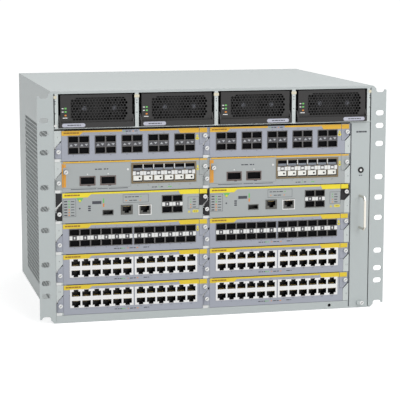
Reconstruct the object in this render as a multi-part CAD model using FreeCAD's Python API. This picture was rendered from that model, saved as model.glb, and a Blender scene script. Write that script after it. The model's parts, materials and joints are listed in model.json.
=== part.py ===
"""Seven-unit modular chassis switch for a 19 inch rack.

A folded sheet-metal box holds four power modules in a top row, twelve line cards in six rows and
two columns, and an upright fan tray beside them.  Millimetres, +Z up, the front faces -Y, and the
origin is the middle of the base.
"""
import FreeCAD, Part
import math
import os

os.makedirs("parts", exist_ok=True)

# ---- rack standard ----
rack_unit = 44.45
rack_units = 7
rack_clearance = 0.95
slot_column_spacing = 465.1
ear_edge = 8.75
slot_to_body = 10.05
slot_width = 7.2
slot_length = 12.0
slot_offsets = (0.0, 28.575, 75.0, 100.0, 117.475)
ear_thickness = 2.0
ear_leg = 30.0
ear_end_gap = 5.5

# ---- shell ----
height = rack_units * rack_unit - rack_clearance
depth = 366.0
sheet = 1.5
side_return = 3.1
fit_gap = 0.2
fascia_height = 10.4
fascia_return = 8.0
cover_lip = 3.4
cover_flange_setback = 10.0
cover_flange_drop = 8.0

half = slot_column_spacing / 2 - slot_to_body
front = -depth / 2
back = depth / 2
inner = half - sheet
return_edge = half - side_return - fit_gap

# ---- card cage ----
rows = 6
row_pitch = 41.4
card_gap = 0.6
cage_floor = fascia_height + 0.4
wall_sheet = 1.2
plate_margin = 12.9
column_gap = 2.0
column_end_gap = 0.4
card_depth = 286.0
plug_reach = 8.0
plane_thickness = 3.0
header_depth = 6.0
header_height = 14.0
connector_width = 90.0

tray_width = 26.4
tray_gap = 0.5
tray_side_gap = 1.3

column_edge = plate_margin - half
wall_right = half - side_return - tray_side_gap - tray_width - tray_gap - wall_sheet
right_edge = wall_right + column_gap - column_end_gap
column_pitch = (right_edge - column_edge) / 2
card_height = row_pitch - card_gap
card_width = column_pitch - column_gap
cage_top = cage_floor + rows * row_pitch
plane_front = front + card_depth + plug_reach + header_depth

# ---- line cards ----
face_thickness = 1.5
board_thickness = 1.6
floor_thickness = 1.0
proud = 0.4
block_depth = 15.0
pocket_depth = 12.0

# ---- the slanted joint between a lever and its neighbour ----
lever_width = 9.0
upper_lever_width = 12.4
seam_gap = 0.3
slant_gap = 1.6
slant_drop = 2.2
tab_height = 3.4
lever_rise = 5.2
knuckle = 1.9
pin_radius = 0.9
pin_play = 0.1
lug_thickness = 1.2
lug_play = 0.2
lug_rim = 0.7
tail_length = 6.0
knob_radius = 2.9
knob_length = 3.6
knob_sides = 8

# ---- ports ----
jack_pitch = 13.97
jack_width = 11.6
jack_height = 6.6
jack_tab_width = 6.2
jack_tab_height = 2.6
jack_frame = 1.3
jack_block_height = 25.2
jack_bottom = 9.2
jack_edge = 0.5
bank_left = 8.6
bank_right = 2.6
bank_gap = 1.78
cage_pitch = 14.25
cage_width = 13.4
cage_height = 8.6
cage_block_height = 24.2
cage_bottom = 9.5
quad_width = 19.0
quad_height = 9.8
quad_step = 27.6
group_gap = 7.3
controller_ports = (54.0, 78.6, 103.4, 134.6)
cage_frame = 1.6
bay_edge = 1.6
bay_gap = 1.0
bay_width = 90.6
bay_sill = 5.4
bay_head = 2.4
bay_depth = 130.0
module_port_rise = 4.6
module_port_left = 23.0
module_knob_drop = 11.0

# ---- power modules ----
shelf_rise = 1.5
shelf_sheet = 1.0
end_margin = 5.7
module_side_gap = 2.0
module_height = 43.4
module_lift = 0.3
divider_width = 5.0
end_strip = 4.4
end_strip_gap = 3.0
hex_pitch = 13.2
hex_width = 10.6
grille_margin = 8.0
grille_rows = 3
grille_chamber = 20.0
bail_thickness = 3.0
bail_height = 7.0
bail_arm = 1.5
bail_gap = 0.4
bail_pivot_rise = 14.0
bail_pivot_setback = 5.0

module_pitch = (2 * half - 2 * end_margin) / 4
module_width = module_pitch - divider_width - 2 * (bail_arm + bail_gap + module_side_gap)
grille_columns = int((module_width - 2 * grille_margin) / hex_pitch)

# ---- fan tray ----
fan_size = 120.0
fan_thickness = 25.0
fan_opening = 57.0
hub_radius = 20.0
blades = 5
blade_chord = 24.0
grip_spacing = 44.45
grip_reach = 22.0
grip_radius = 1.7
grip_bend = 4.0
grip_height = 136.0

# ---- side vents ----
vent_front = 30.0
vent_back = 297.0
vent_low = 15.0
vent_high = 259.0
vent_columns = 4
vent_rows = 8
vent_bar = 9.0

# ---- rear inlets ----
inlet_width = 30.0
inlet_height = 23.0
inlet_depth = 24.0
inlet_mouth_width = 24.0
inlet_mouth_height = 16.4
inlet_mouth_depth = 17.0
inlet_flange = 3.0
inlet_pin_length = 11.0

screw_radius = 3.2
screw_head = 1.4


def box(x0, x1, y0, y1, z0, z1):
    return Part.makeBox(x1 - x0, y1 - y0, z1 - z0, FreeCAD.Vector(x0, y0, z0))


def polygon_face(points):
    vectors = [FreeCAD.Vector(*point) for point in points]
    return Part.Face(Part.makePolygon(vectors + vectors[:1]))


def front_prism(outline, y0, y1):
    """An outline of (x, z) points, given depth from y0 to y1."""
    face = polygon_face([(x, y0, z) for x, z in outline])
    return face.extrude(FreeCAD.Vector(0, y1 - y0, 0))


def side_prism(outline, x0, x1):
    """An outline of (y, z) points, given width from x0 to x1."""
    face = polygon_face([(x0, y, z) for y, z in outline])
    return face.extrude(FreeCAD.Vector(x1 - x0, 0, 0))


def ring(centre_a, centre_b, radius, sides, turn=0.0):
    """Corner points of a regular polygon about a centre."""
    step = 2 * math.pi / sides
    return [(centre_a + radius * math.cos(turn + i * step),
             centre_b + radius * math.sin(turn + i * step)) for i in range(sides)]


def joined(solids):
    body = solids[0].multiFuse(solids[1:]) if len(solids) > 1 else solids[0]
    return body.removeSplitter()


def less(body, tools):
    return body.cut(Part.makeCompound(tools)) if tools else body


def save(name, solids):
    shape = solids[0] if len(solids) == 1 else Part.makeCompound(solids)
    shape.exportStep("parts/" + name + ".step")


# ---- derived places ----
shelf_bottom = cage_top + shelf_rise
shelf_top = shelf_bottom + shelf_sheet
module_bottom = shelf_top + module_lift
cover_bottom = height - sheet
tray_left = wall_right + wall_sheet + tray_gap
tray_right = tray_left + tray_width
module_centres = [(i - 1.5) * module_pitch for i in range(4)]
slot_column = slot_column_spacing / 2


def row_bottom(row):
    return cage_floor + row * row_pitch


def column_left(column):
    return column_edge + column * column_pitch


def slant(x, edge, row):
    """Height of the slanted joint at x, for the column boundary at edge."""
    middle = row_bottom(row) + card_height / 2
    return middle - slant_drop + x - (edge - lever_width)


# ---- shell ----
def base_pan():
    pan = joined([
        box(-inner, inner, front, back, 0, sheet),
        box(-return_edge, tray_left - tray_gap, front, front + sheet, 0, fascia_height),
        box(-return_edge, tray_left - tray_gap, front, front + fascia_return, fascia_height - sheet,
            fascia_height),
        box(-inner, inner, back - 2 * sheet - fit_gap, back - sheet - fit_gap, 0, fascia_height)])
    tray_notch = box(tray_left - tray_gap, inner, front, front + sheet + tray_gap, 0, sheet)
    strap_socket = front_prism(ring(module_centres[3], fascia_height / 2, 2.4, 8), front, front + sheet)
    return pan.cut(tray_notch).cut(strap_socket)


def vent_slots():
    """Slanted slots in staggered rows: outlines in the side panel's (y, z) plane."""
    pitch_y = (vent_back - vent_front) / vent_columns
    pitch_z = (vent_high - vent_low) / vent_rows
    lean = pitch_z - vent_bar
    outlines = []
    for row in range(vent_rows):
        for column in range(vent_columns):
            y = front + vent_front + column * pitch_y
            z = vent_low + row * pitch_z
            end = y + pitch_y - vent_bar - lean / 2
            outlines.append([(y + lean / 2, z), (end, z), (end + lean / 2, z + lean / 2),
                             (end, z + lean), (y + lean / 2, z + lean), (y, z + lean / 2)])
    return outlines


def side_panel(side):
    wall = box(inner, half, front, back, 0, cover_bottom)
    front_return = box(half - side_return, half, front, front + sheet, sheet, cover_bottom)
    slots = [side_prism(outline, inner, half) for outline in vent_slots()]
    panel = less(joined([wall, front_return]), slots)
    return panel if side > 0 else panel.mirror(FreeCAD.Vector(), FreeCAD.Vector(1, 0, 0))


def top_cover():
    return joined([
        box(-half, half, front, back, cover_bottom, height),
        box(-return_edge, return_edge, front, front + sheet, height - cover_lip, cover_bottom),
        box(-inner + fit_gap, -inner + fit_gap + sheet, front + cover_flange_setback,
            back - cover_flange_setback, cover_bottom - cover_flange_drop, cover_bottom),
        box(inner - fit_gap - sheet, inner - fit_gap, front + cover_flange_setback,
            back - cover_flange_setback, cover_bottom - cover_flange_drop, cover_bottom)])


def rear_panel():
    panel = box(-inner, inner, back - sheet, back, sheet, cover_bottom)
    middle = module_bottom + module_height / 2
    tools = [box(x - inlet_width / 2 - fit_gap, x + inlet_width / 2 + fit_gap, back - sheet, back,
                 middle - inlet_height / 2 - fit_gap, middle + inlet_height / 2 + fit_gap)
             for x in module_centres]
    return less(panel, tools)


def power_inlet(x):
    middle = module_bottom + module_height / 2
    wide = inlet_mouth_width / 2
    tall = inlet_mouth_height / 2
    corner = 4.0
    shell = box(x - inlet_width / 2, x + inlet_width / 2, back - inlet_depth, back,
                middle - inlet_height / 2, middle + inlet_height / 2)
    flange = box(x - inlet_width / 2 - inlet_flange, x + inlet_width / 2 + inlet_flange, back, back + 2,
                 middle - inlet_height / 2 - inlet_flange, middle + inlet_height / 2 + inlet_flange)
    mouth = front_prism([(x - wide, middle - tall), (x + wide, middle - tall),
                         (x + wide, middle + tall - corner), (x + wide - corner, middle + tall),
                         (x - wide + corner, middle + tall), (x - wide, middle + tall - corner)],
                        back + 2 - inlet_mouth_depth, back + 2)
    floor = back + 2 - inlet_mouth_depth
    pins = [box(x + dx - 1, x + dx + 1, floor, floor + inlet_pin_length, middle + dz - 2, middle + dz + 2)
            for dx, dz in ((-7, -1.5), (0, 2.5), (7, -1.5))]
    return joined([joined([shell, flange]).cut(mouth)] + pins)


def ear_slot(z):
    reach = (slot_length - slot_width) / 2
    ends = [Part.makeCylinder(slot_width / 2, ear_thickness, FreeCAD.Vector(slot_column + dx, front, z),
                              FreeCAD.Vector(0, 1, 0)) for dx in (-reach, reach)]
    middle = box(slot_column - reach, slot_column + reach, front, front + ear_thickness,
                 z - slot_width / 2, z + slot_width / 2)
    return joined(ends + [middle])


def rack_ear(side):
    outer = slot_column + ear_edge
    low = ear_end_gap
    high = height - ear_end_gap
    plate = front_prism([(half, 0), (half + ear_end_gap, low), (outer, low), (outer, high),
                         (half + ear_end_gap, high), (half, height)], front, front + ear_thickness)
    leg = box(half, half + ear_thickness, front, front + ear_leg, 2 * low, height - 2 * low)
    middle = height / 2
    heights = {middle + sign * offset for offset in slot_offsets for sign in (-1, 1)}
    tools = [ear_slot(z) for z in sorted(heights)] + [ear_slot(low), ear_slot(high)]
    ear = less(joined([plate, leg]), tools)
    return ear if side > 0 else ear.mirror(FreeCAD.Vector(), FreeCAD.Vector(1, 0, 0))


# ---- card cage: walls with the slot-number plates, shelf and dividers ----
def cage_wall(x, start):
    """An upright wall from start to the backplane, its foot stopping behind the fascia."""
    foot = max(start, front + fascia_return + fit_gap)
    return [box(x, x + wall_sheet, start, plane_front, fascia_height, shelf_bottom),
            box(x, x + wall_sheet, foot, plane_front, sheet, fascia_height)]


def left_wall():
    wall_x = -return_edge
    edge = column_left(0)
    fold = front + sheet + fit_gap
    solids = cage_wall(-inner + fit_gap, fold)
    for row in range(rows):
        bottom = row_bottom(row)
        top = bottom + card_height
        low = slant(wall_x, edge, row) + slant_gap / 2
        high = slant(edge - seam_gap, edge, row) + slant_gap / 2
        solids.append(front_prism([(wall_x, low), (edge - seam_gap, high), (edge - seam_gap, top),
                                   (wall_x, top)], front, front + wall_sheet))
        solids.append(box(wall_x, edge - seam_gap, front, front + wall_sheet, bottom, bottom + tab_height))
        for z0, z1 in ((bottom, bottom + tab_height), (high, top)):
            solids.append(box(wall_x, wall_x + wall_sheet, front, fold + wall_sheet, z0, z1))
            solids.append(box(-inner + fit_gap, wall_x + wall_sheet, fold, fold + wall_sheet, z0, z1))
    return joined(solids)


def centre_wall():
    edge = column_left(1)
    wall_x = edge - lever_width / 2 - seam_gap - wall_sheet / 2
    setback = knuckle + tail_length + 6
    solids = cage_wall(wall_x, front + setback)
    for row in range(rows):
        bottom = row_bottom(row)
        solids.append(box(wall_x, wall_x + wall_sheet, front, front + setback, bottom, bottom + tab_height))
        solids.append(box(edge - lever_width - seam_gap, edge - seam_gap, front, front + wall_sheet,
                          bottom, bottom + tab_height))
    return joined(solids)


def right_wall():
    edge = right_edge
    solids = cage_wall(wall_right, front)
    plate_left = edge - lever_width - seam_gap
    plate_right = wall_right + wall_sheet
    for row in range(rows):
        bottom = row_bottom(row)
        low = slant(plate_left, edge, row) - slant_gap / 2
        high = slant(wall_right - seam_gap, edge, row) - slant_gap / 2
        solids.append(front_prism([(plate_left, bottom), (plate_right, bottom), (plate_right, high),
                                   (wall_right - seam_gap, high), (plate_left, low)],
                                  front, front + wall_sheet))
    return joined(solids)


def divider(x, width):
    return joined([
        box(x - width / 2, x + width / 2, front, front + wall_sheet, shelf_top, cover_bottom),
        box(x - wall_sheet / 2, x + wall_sheet / 2, front, plane_front, shelf_top, cover_bottom)])


def card_cage():
    shelf = joined([box(-return_edge, return_edge, front, plane_front, shelf_bottom, shelf_top),
                    box(-inner, inner, front + sheet + fit_gap, plane_front, shelf_bottom, shelf_top)])
    strip_x = module_centres[3] + module_width / 2 + end_strip_gap + end_strip / 2
    places = [(-strip_x, end_strip), (strip_x, end_strip)]
    places += [(i * module_pitch, divider_width) for i in (-1, 0, 1)]
    dividers = [less(divider(x, width), [box(x - width, x + width, front, front + sheet,
                                             height - cover_lip, cover_bottom),
                                         box(x - width, x + width, front, plane_front,
                                             cover_bottom - 0.2, cover_bottom)])
                for x, width in places]
    return [left_wall(), centre_wall(), right_wall(), shelf] + dividers


def header(x, z):
    return box(x - connector_width / 2, x + connector_width / 2, plane_front - header_depth, plane_front,
               z, z + header_height)


def backplane():
    board = box(-inner + 2, inner - 2, plane_front, plane_front + plane_thickness, sheet, cover_bottom - 1)
    headers = [header(column_left(column) + card_width / 2 - 5, row_bottom(row) + jack_bottom)
               for row in range(rows) for column in range(2)]
    headers += [header(x, module_bottom + module_height / 2 - header_height / 2) for x in module_centres]
    return [board] + headers


def chassis_screws():
    """Low heads that hold the ears to the sides and the rear panel to the box."""
    screws = []
    leg_face = half + ear_thickness
    for side in (-1, 1):
        near, far = sorted((side * leg_face, side * (leg_face + screw_head)))
        for z in (height * 0.15, height * 0.5, height * 0.85):
            head = ring(front + ear_leg - 9, z, screw_radius, 8)
            screws.append(side_prism(head, near, far))
        for z in (height * 0.06, height * 0.6):
            screws.append(front_prism(ring(side * (inner - 8), z, screw_radius, 8), back, back + screw_head))
    return screws


# ---- levers: each turns on an upright pin at its outer edge, held by two lugs of its card ----
def pin_ring(x, radius):
    """Corner points of an upright eight-sided bar at a pin's axis, flats facing front and side."""
    return ring(x, front + knuckle, radius / math.cos(math.pi / 8), 8, math.pi / 8)


def upright(points, z0, z1):
    return polygon_face([(x, y, z0) for x, y in points]).extrude(FreeCAD.Vector(0, 0, z1 - z0))


def hinge_side(x, z0, z1):
    """Knuckle, pin and tail of a lever, between the heights of its two lugs."""
    middle = (z0 + z1) / 2
    return [upright(pin_ring(x, knuckle), z0, z1),
            upright(ring(x, front + knuckle, pin_radius, 6), z0 - lug_play - lug_thickness,
                    z1 + lug_play + lug_thickness),
            box(x - 0.8, x + 0.8, front + knuckle, front + knuckle + tail_length, middle - 2, middle + 2)]


def knob(x, z):
    return front_prism(ring(x, z, knob_radius, knob_sides), front - knob_length, front)


def lower_pin(column, row):
    """The pin's x, and the heights between which the lower lever's knuckle turns."""
    x = column_left(column) - lever_width - seam_gap + knuckle
    low = row_bottom(row) + lever_rise
    return x, low, slant(x - knuckle, column_left(column), row) - slant_gap - lug_thickness - 1


def upper_pin(column, row):
    x = column_left(column) + card_width - knuckle
    low = upper_outline(column, row)[2][1] + lug_thickness + 1
    return x, low, row_bottom(row) + card_height - lug_thickness - lug_play


def lower_lever(column, row):
    edge = column_left(column)
    right = edge - seam_gap
    x, low, high = lower_pin(column, row)
    step = x + knuckle + 2 * seam_gap
    plate = front_prism([(x, low), (right, low), (right, slant(right, edge, row) - slant_gap / 2),
                         (step, slant(step, edge, row) - slant_gap / 2), (step, high), (x, high)],
                        front, front + face_thickness)
    return [joined([plate] + hinge_side(x, low, high)), knob(edge - 4.5, row_bottom(row) + 13)]


def upper_outline(column, row, grow=0.0):
    right = column_left(column) + card_width
    edge = right + column_gap
    left = right - upper_lever_width - grow
    top = row_bottom(row) + card_height
    corner = edge - lever_width - 2 * seam_gap
    flat = slant(corner, edge, row) + slant_gap / 2 - grow
    return [(left, flat), (corner, flat), (right, slant(right, edge, row) + slant_gap / 2 - grow),
            (right, top), (left, top)]


def upper_lever(column, row):
    x, low, high = upper_pin(column, row)
    step = x - knuckle - 2 * seam_gap
    flat_left, corner = upper_outline(column, row)[:2]
    rise = flat_left[1] + step - corner[0]
    plate = front_prism([flat_left, corner, (step, rise), (step, low), (x, low), (x, high),
                         (flat_left[0], high)], front, front + face_thickness)
    right = column_left(column) + card_width
    return [joined([plate] + hinge_side(x, low, high)), knob(right - 3.4 - 1.6, row_bottom(row) + 30.2)]


def lugs(x, low, high, root):
    """Two flat lugs from the carrier's side at root out to a lever's pin, above and below its knuckle."""
    hole = pin_radius + pin_play
    tip = x - knuckle if root > x else x + knuckle
    inner_x = x + hole + lug_rim if root > x else x - hole - lug_rim
    pin_y = front + knuckle
    solids = []
    lowest = low - lug_play - lug_thickness
    for z0, z1 in ((lowest, low - lug_play), (high + lug_play, high + lug_play + lug_thickness)):
        boss = box(min(tip, inner_x), max(tip, inner_x), front + lug_play, pin_y + knuckle, z0, z1)
        arm = box(min(inner_x, root), max(inner_x, root), front + face_thickness + lug_play, pin_y + knuckle,
                  z0, z1)
        hole_box = box(x - hole, x + hole, pin_y - hole, pin_y + hole, z0, z1)
        solids.append(joined([boss, arm]).cut(hole_box))
    return solids


# ---- port blocks ----
def jack_outline(x, z, up):
    """The stepped mouth of a socket: a wide body and a narrow latch keyway above or below it."""
    wide = jack_width / 2
    narrow = jack_tab_width / 2
    sign = 1 if up else -1
    step = z + sign * jack_height
    end = step + sign * jack_tab_height
    return [(x - wide, z), (x + wide, z), (x + wide, step), (x + narrow, step),
            (x + narrow, end), (x - narrow, end), (x - narrow, step), (x - wide, step)]


def pocket(outline):
    return front_prism(outline, front - proud, front - proud + pocket_depth)


def rect(x0, x1, z0, z1):
    return [(x0, z0), (x1, z0), (x1, z1), (x0, z1)]


def block(x0, x1, z0, z1, mouths):
    body = box(x0, x1, front - proud, front + block_depth, z0, z1)
    return less(body, [pocket(outline) for outline in mouths])


def jack_bank(x, z, columns):
    """Two rows of sockets, latch keyways outward."""
    width = columns * jack_pitch + 2 * jack_frame
    mouths = []
    for i in range(columns):
        centre = x + jack_frame + (i + 0.5) * jack_pitch
        upper = z + jack_block_height - jack_edge - jack_height - jack_tab_height
        mouths.append(jack_outline(centre, upper, True))
        mouths.append(jack_outline(centre, z + jack_edge + jack_height + jack_tab_height, False))
    return (x, x + width, z, z + jack_block_height, mouths)


def bank_places(left, pitch, frame=0.0):
    """Left edges and column count of the two equal port banks that fill a faceplate."""
    room = (card_width - upper_lever_width - bank_left - bank_right - bank_gap) / 2
    columns = int((room - 2 * frame) / pitch)
    width = columns * pitch + 2 * frame
    return [left + bank_left, left + bank_left + width + bank_gap], columns


def cage_bank(x, z, columns, frame=0.0):
    """Two rows of rectangular module cages, a strip of light pipes between them."""
    width = columns * cage_pitch + 2 * frame
    tall = cage_block_height + 2 * frame
    mouths = []
    for i in range(columns):
        left = x + frame + i * cage_pitch + (cage_pitch - cage_width) / 2
        for low in (z + frame + 0.4, z + tall - frame - 0.4 - cage_height):
            mouths.append(rect(left, left + cage_width, low, low + cage_height))
    return (x, x + width, z, z + tall, mouths)


def single_jack(x, z):
    width = jack_pitch + 2
    tall = jack_height + jack_tab_height + 3.6
    mouth = jack_outline(x + width / 2, z + tall - 1.6, False)
    return (x, x + width, z, z + tall, [mouth])


def usb_port(x, z):
    return (x, x + 14.4, z, z + 7.0, [rect(x + 0.7, x + 13.7, z + 0.8, z + 6.2)])


# ---- line cards ----
def face_outline(column, row):
    left = column_left(column)
    right = left + card_width
    bottom = row_bottom(row)
    flat = upper_outline(column, row, seam_gap)[0][1]
    low_right = right + column_gap - lever_width - 2 * seam_gap
    notch = right - upper_lever_width - seam_gap
    return [(left, bottom), (low_right, bottom), (low_right, flat), (notch, flat),
            (notch, bottom + card_height), (left, bottom + card_height)]


def side_flanges(column, row):
    """The face's folded sides, which the lever lugs are riveted to."""
    left = column_left(column)
    notch = left + card_width - upper_lever_width - seam_gap
    reach = lug_thickness + lug_play
    low_x, low, high = lower_pin(column, row)
    flanges = [box(left, left + 1, front, front + 2 * knuckle, low - reach, high + reach)]
    high_x, low, high = upper_pin(column, row)
    return flanges + [box(notch - 1, notch, front, front + 2 * knuckle, low - reach, high + reach)]


def lever_lugs(column, row):
    left = column_left(column)
    notch = left + card_width - upper_lever_width - seam_gap
    return lugs(*lower_pin(column, row), left) + lugs(*upper_pin(column, row), notch)


def carrier(column, row, board_bottom, cuts):
    """Face, floor, flanges and the board's four standoffs, folded and pressed from one sheet."""
    left = column_left(column)
    bottom = row_bottom(row)
    floor_right = left + card_width - upper_lever_width - 1.5
    face = front_prism(face_outline(column, row), front, front + face_thickness)
    floor = box(left + 2, floor_right, front, front + card_depth, bottom, bottom + floor_thickness)
    posts = [box(x - 3, x + 3, y - 3, y + 3, bottom, board_bottom)
             for x in (left + 12, floor_right - 12)
             for y in (front + 0.62 * card_depth, front + card_depth - 24)]
    return less(joined([face, floor] + posts + side_flanges(column, row)), cuts)


def port_cut(port):
    x0, x1, z0, z1, mouths = port
    return box(x0 - fit_gap, x1 + fit_gap, front, front + face_thickness, z0 - fit_gap, z1 + fit_gap)


def connector(middle, z):
    return box(middle - connector_width / 2, middle + connector_width / 2,
               front + card_depth - 10, plane_front - header_depth, z, z + header_height)


def card(column, row, ports, bay=None):
    """A carrier with the board, the port blocks standing on it and the rear connector.

    ports are (x0, x1, z0, z1, mouths); bay is the (x0, x1, z0, z1) opening in the face of a card
    that takes an expansion module, and the board then starts behind the module."""
    left = column_left(column)
    deck = row_bottom(row) + min(jack_bottom, cage_bottom)
    board_bottom = deck - board_thickness
    cuts = [port_cut(port) for port in ports]
    board = box(left + 4, left + card_width - upper_lever_width - 3.5, front + face_thickness + fit_gap,
                front + card_depth, board_bottom, deck)
    if bay:
        x0, x1, z0, z1 = bay
        cuts.append(box(x0, x1, front, front + face_thickness, z0, z1))
        board = board.cut(box(left, x1 + 1, front, front + bay_depth, board_bottom, deck))
    blocks = [block(*port) for port in ports]
    return [carrier(column, row, board_bottom, cuts), board,
            connector(left + card_width / 2 - 5, deck)] + lever_lugs(column, row) + blocks


def jack_card(column, row):
    left = column_left(column)
    z = row_bottom(row) + jack_bottom
    places, columns = bank_places(left, jack_pitch, jack_frame)
    return card(column, row, [jack_bank(x, z, columns) for x in places])


def cage_card(column, row):
    left = column_left(column)
    z = row_bottom(row) + jack_bottom
    places, columns = bank_places(left, cage_pitch)
    return card(column, row, [cage_bank(x, z, columns) for x in places])


def dense_cage_card(column, row):
    left = column_left(column)
    z = row_bottom(row) + jack_bottom
    step = 2 * cage_pitch + group_gap
    groups = int((card_width - upper_lever_width - bank_left + group_gap) / step)
    return card(column, row, [cage_bank(left + bank_left + i * step, z, 2) for i in range(groups)])


def module_bay(column, row):
    left = column_left(column) + bay_edge
    bottom = row_bottom(row)
    return (left, left + bay_width, bottom + bay_sill, bottom + card_height - bay_head)


def expansion_card(column, row):
    left = column_left(column)
    z = row_bottom(row) + jack_bottom
    x = module_bay(column, row)[1] + bay_gap
    columns = int((left + card_width - upper_lever_width - bay_gap - x - 2 * cage_frame) / cage_pitch)
    return card(column, row, [cage_bank(x, z, columns, cage_frame)], module_bay(column, row))


def expansion_module(column, row):
    """A small plate, board and two wide cages that slide into the bay of an expansion card."""
    x0, x1, z0, z1 = module_bay(column, row)
    gap = fit_gap
    mouths_bottom = z0 + module_port_rise
    port_left = x0 + module_port_left
    plate = box(x0 + gap, x1 - gap, front, front + face_thickness, z0 + gap, z1 - gap)
    ports = [(x - 1, x + quad_width + 1, mouths_bottom - 1.5, mouths_bottom + quad_height + 1,
              [rect(x, x + quad_width, mouths_bottom, mouths_bottom + quad_height)])
             for x in (port_left, port_left + quad_step)]
    board_top = mouths_bottom - 1.5
    board = box(x0 + 2, x1 - 2, front + face_thickness, front + bay_depth - 6, board_top - board_thickness,
                board_top)
    plug = box(x0 + 20, x1 - 20, front + bay_depth - 12, front + bay_depth - 1, board_top, board_top + 10)
    screw_knob = knob(x0 + 2 + knob_radius / 2, z1 - module_knob_drop)
    return [less(plate, [port_cut(port) for port in ports]), board, plug, screw_knob] + \
           [block(*port) for port in ports]


def controller_card(column, row):
    left = column_left(column)
    z = row_bottom(row) + jack_bottom
    usb, network, console, cages = (left + offset for offset in controller_ports)
    return card(column, row, [usb_port(usb, z), single_jack(network, z), single_jack(console, z),
                              cage_bank(cages, z, 2)])


# ---- power modules ----
def hexagons(x, z):
    """Staggered six-sided holes of a grille centred at x, z."""
    radius = hex_width / 2 / math.cos(math.pi / 6)
    rise = hex_pitch * math.sqrt(3) / 2
    holes = []
    for row in range(grille_rows):
        shift = hex_pitch / 4 if row % 2 else -hex_pitch / 4
        for column in range(grille_columns):
            cx = x + (column - (grille_columns - 1) / 2) * hex_pitch + shift
            cz = z + (row - (grille_rows - 1) / 2) * rise
            holes.append(front_prism(ring(cx, cz, radius, 6, math.pi / 2), front, front + face_thickness))
    return holes


def power_module(x):
    """A closed case with a chamber behind its grille, where two small fans sit."""
    left = x - module_width / 2
    right = x + module_width / 2
    top = module_bottom + module_height
    middle = module_bottom + module_height / 2
    grille_z = module_bottom + bail_height + 1.5 + (module_height - bail_height - 1.5) / 2
    chamber_back = front + face_thickness + grille_chamber
    case = box(left, right, front + face_thickness, front + card_depth, module_bottom, top)
    chamber = box(left + sheet, right - sheet, front + face_thickness, chamber_back,
                  module_bottom + sheet, top - sheet)
    face = less(box(left, right, front, front + face_thickness, module_bottom, top),
                hexagons(x + 5.5, grille_z))
    fans = [small_fan(x + 5.5 + dx, grille_z, chamber_back) for dx in (-20.5, 20.5)]
    bosses = [box(min(a, b), max(a, b), pivot_y - 1, pivot_y + 1, pivot_z - 1, pivot_z + 1)
              for a, b in ((left, left - bail_gap - bail_arm), (right, right + bail_gap + bail_arm))]
    plug = connector(x, middle - header_height / 2)
    return [joined([case.cut(chamber)] + bosses), face, plug] + fans


def small_fan(x, z, y):
    """Hub and four blades of one fan, on the chamber's rear wall."""
    hub = front_prism(ring(x, z, 7, 8), y - 8, y)
    arms = [box(x - 16, x + 16, y - 6, y - 3, z - 3, z + 3), box(x - 3, x + 3, y - 6, y - 3, z - 15, z + 15)]
    return joined([hub] + arms)


def bail(x):
    """The folding pull across the foot of a power module, on two pins in its sides."""
    left = x - module_width / 2 - bail_gap
    right = x + module_width / 2 + bail_gap
    low = module_bottom + 0.2
    bar_back = front - 0.6
    bar = box(left - bail_arm, right + bail_arm, bar_back - bail_thickness, bar_back, low, low + bail_height)
    hole = 1.5
    solids = [bar]
    for a, b in ((left - bail_arm, left), (right, right + bail_arm)):
        arm = side_prism([(bar_back - bail_thickness, low), (bar_back, low), (pivot_y + 2.6, pivot_z - 2.6),
                          (pivot_y + 2.6, pivot_z + 2.6), (pivot_y - 2.6, pivot_z + 2.6),
                          (bar_back - bail_thickness, low + bail_height)], a, b)
        solids.append(arm)
    holes = [box(a, b, pivot_y - hole, pivot_y + hole, pivot_z - hole, pivot_z + hole)
             for a, b in ((left - bail_arm, left), (right, right + bail_arm))]
    return [less(joined(solids), holes)]


# ---- fan tray ----
def tray_fan(y, z):
    """One axial fan lying across the tray: a square frame with a round opening, and its rotor."""
    x0 = tray_left + (tray_width - fan_thickness) / 2
    x1 = x0 + fan_thickness
    frame = box(x0, x1, y - fan_size / 2, y + fan_size / 2, z - fan_size / 2, z + fan_size / 2)
    frame = frame.cut(side_prism(ring(y, z, fan_opening, 16), x0, x1))
    struts = [box(x1 - 2, x1, y - fan_opening - 1, y + fan_opening + 1, z - 2.5, z + 2.5)]
    return joined([frame] + struts)


def rotor(y, z):
    x0 = tray_left + (tray_width - fan_thickness) / 2 + 2
    x1 = x0 + fan_thickness - 5
    middle = (x0 + x1) / 2
    parts = [side_prism(ring(y, z, hub_radius, 10), x0, x1)]
    for i in range(blades):
        angle = 2 * math.pi * i / blades
        blade = box(middle - 1, middle + 1, y + hub_radius - 3, y + fan_opening - 3, z - blade_chord / 2,
                    z + blade_chord / 2)
        blade.rotate(FreeCAD.Vector(middle, y, z), FreeCAD.Vector(0, 1, 0), 35)
        blade.rotate(FreeCAD.Vector(0, y, z), FreeCAD.Vector(1, 0, 0), math.degrees(angle))
        parts.append(blade)
    return joined(parts)


def fan_places():
    first_y = front + 18 + fan_size / 2
    first_z = sheet + 6 + fan_size / 2
    return [(first_y + i * (fan_size + 2), first_z + j * (fan_size + 2)) for i in range(2) for j in range(2)]


def fan_tray():
    """Front plate and the open frame that the four fans stand in."""
    top = shelf_bottom - tray_gap
    plate = box(tray_left, tray_right, front, front + sheet, 0, top)
    x0 = tray_left + (tray_width - fan_thickness) / 2
    x1 = x0 + fan_thickness
    end = front + 18 + 2 * fan_size + 4 + 10
    deck = sheet + 6
    roof = deck + 2 * fan_size + 2
    frame = [box(x0, x1, front, end, deck - 2, deck), box(x0, x1, front, end, roof, roof + 2),
             box(x0, x1, front + 14, front + 16, deck - 2, roof + 2),
             box(x0, x1, end - 2, end, deck - 2, roof + 2)]
    screw_knob = knob((tray_left + tray_right) / 2, 7.0)
    return [joined([plate] + frame), screw_knob] + [tray_fan(y, z) for y, z in fan_places()]


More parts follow.
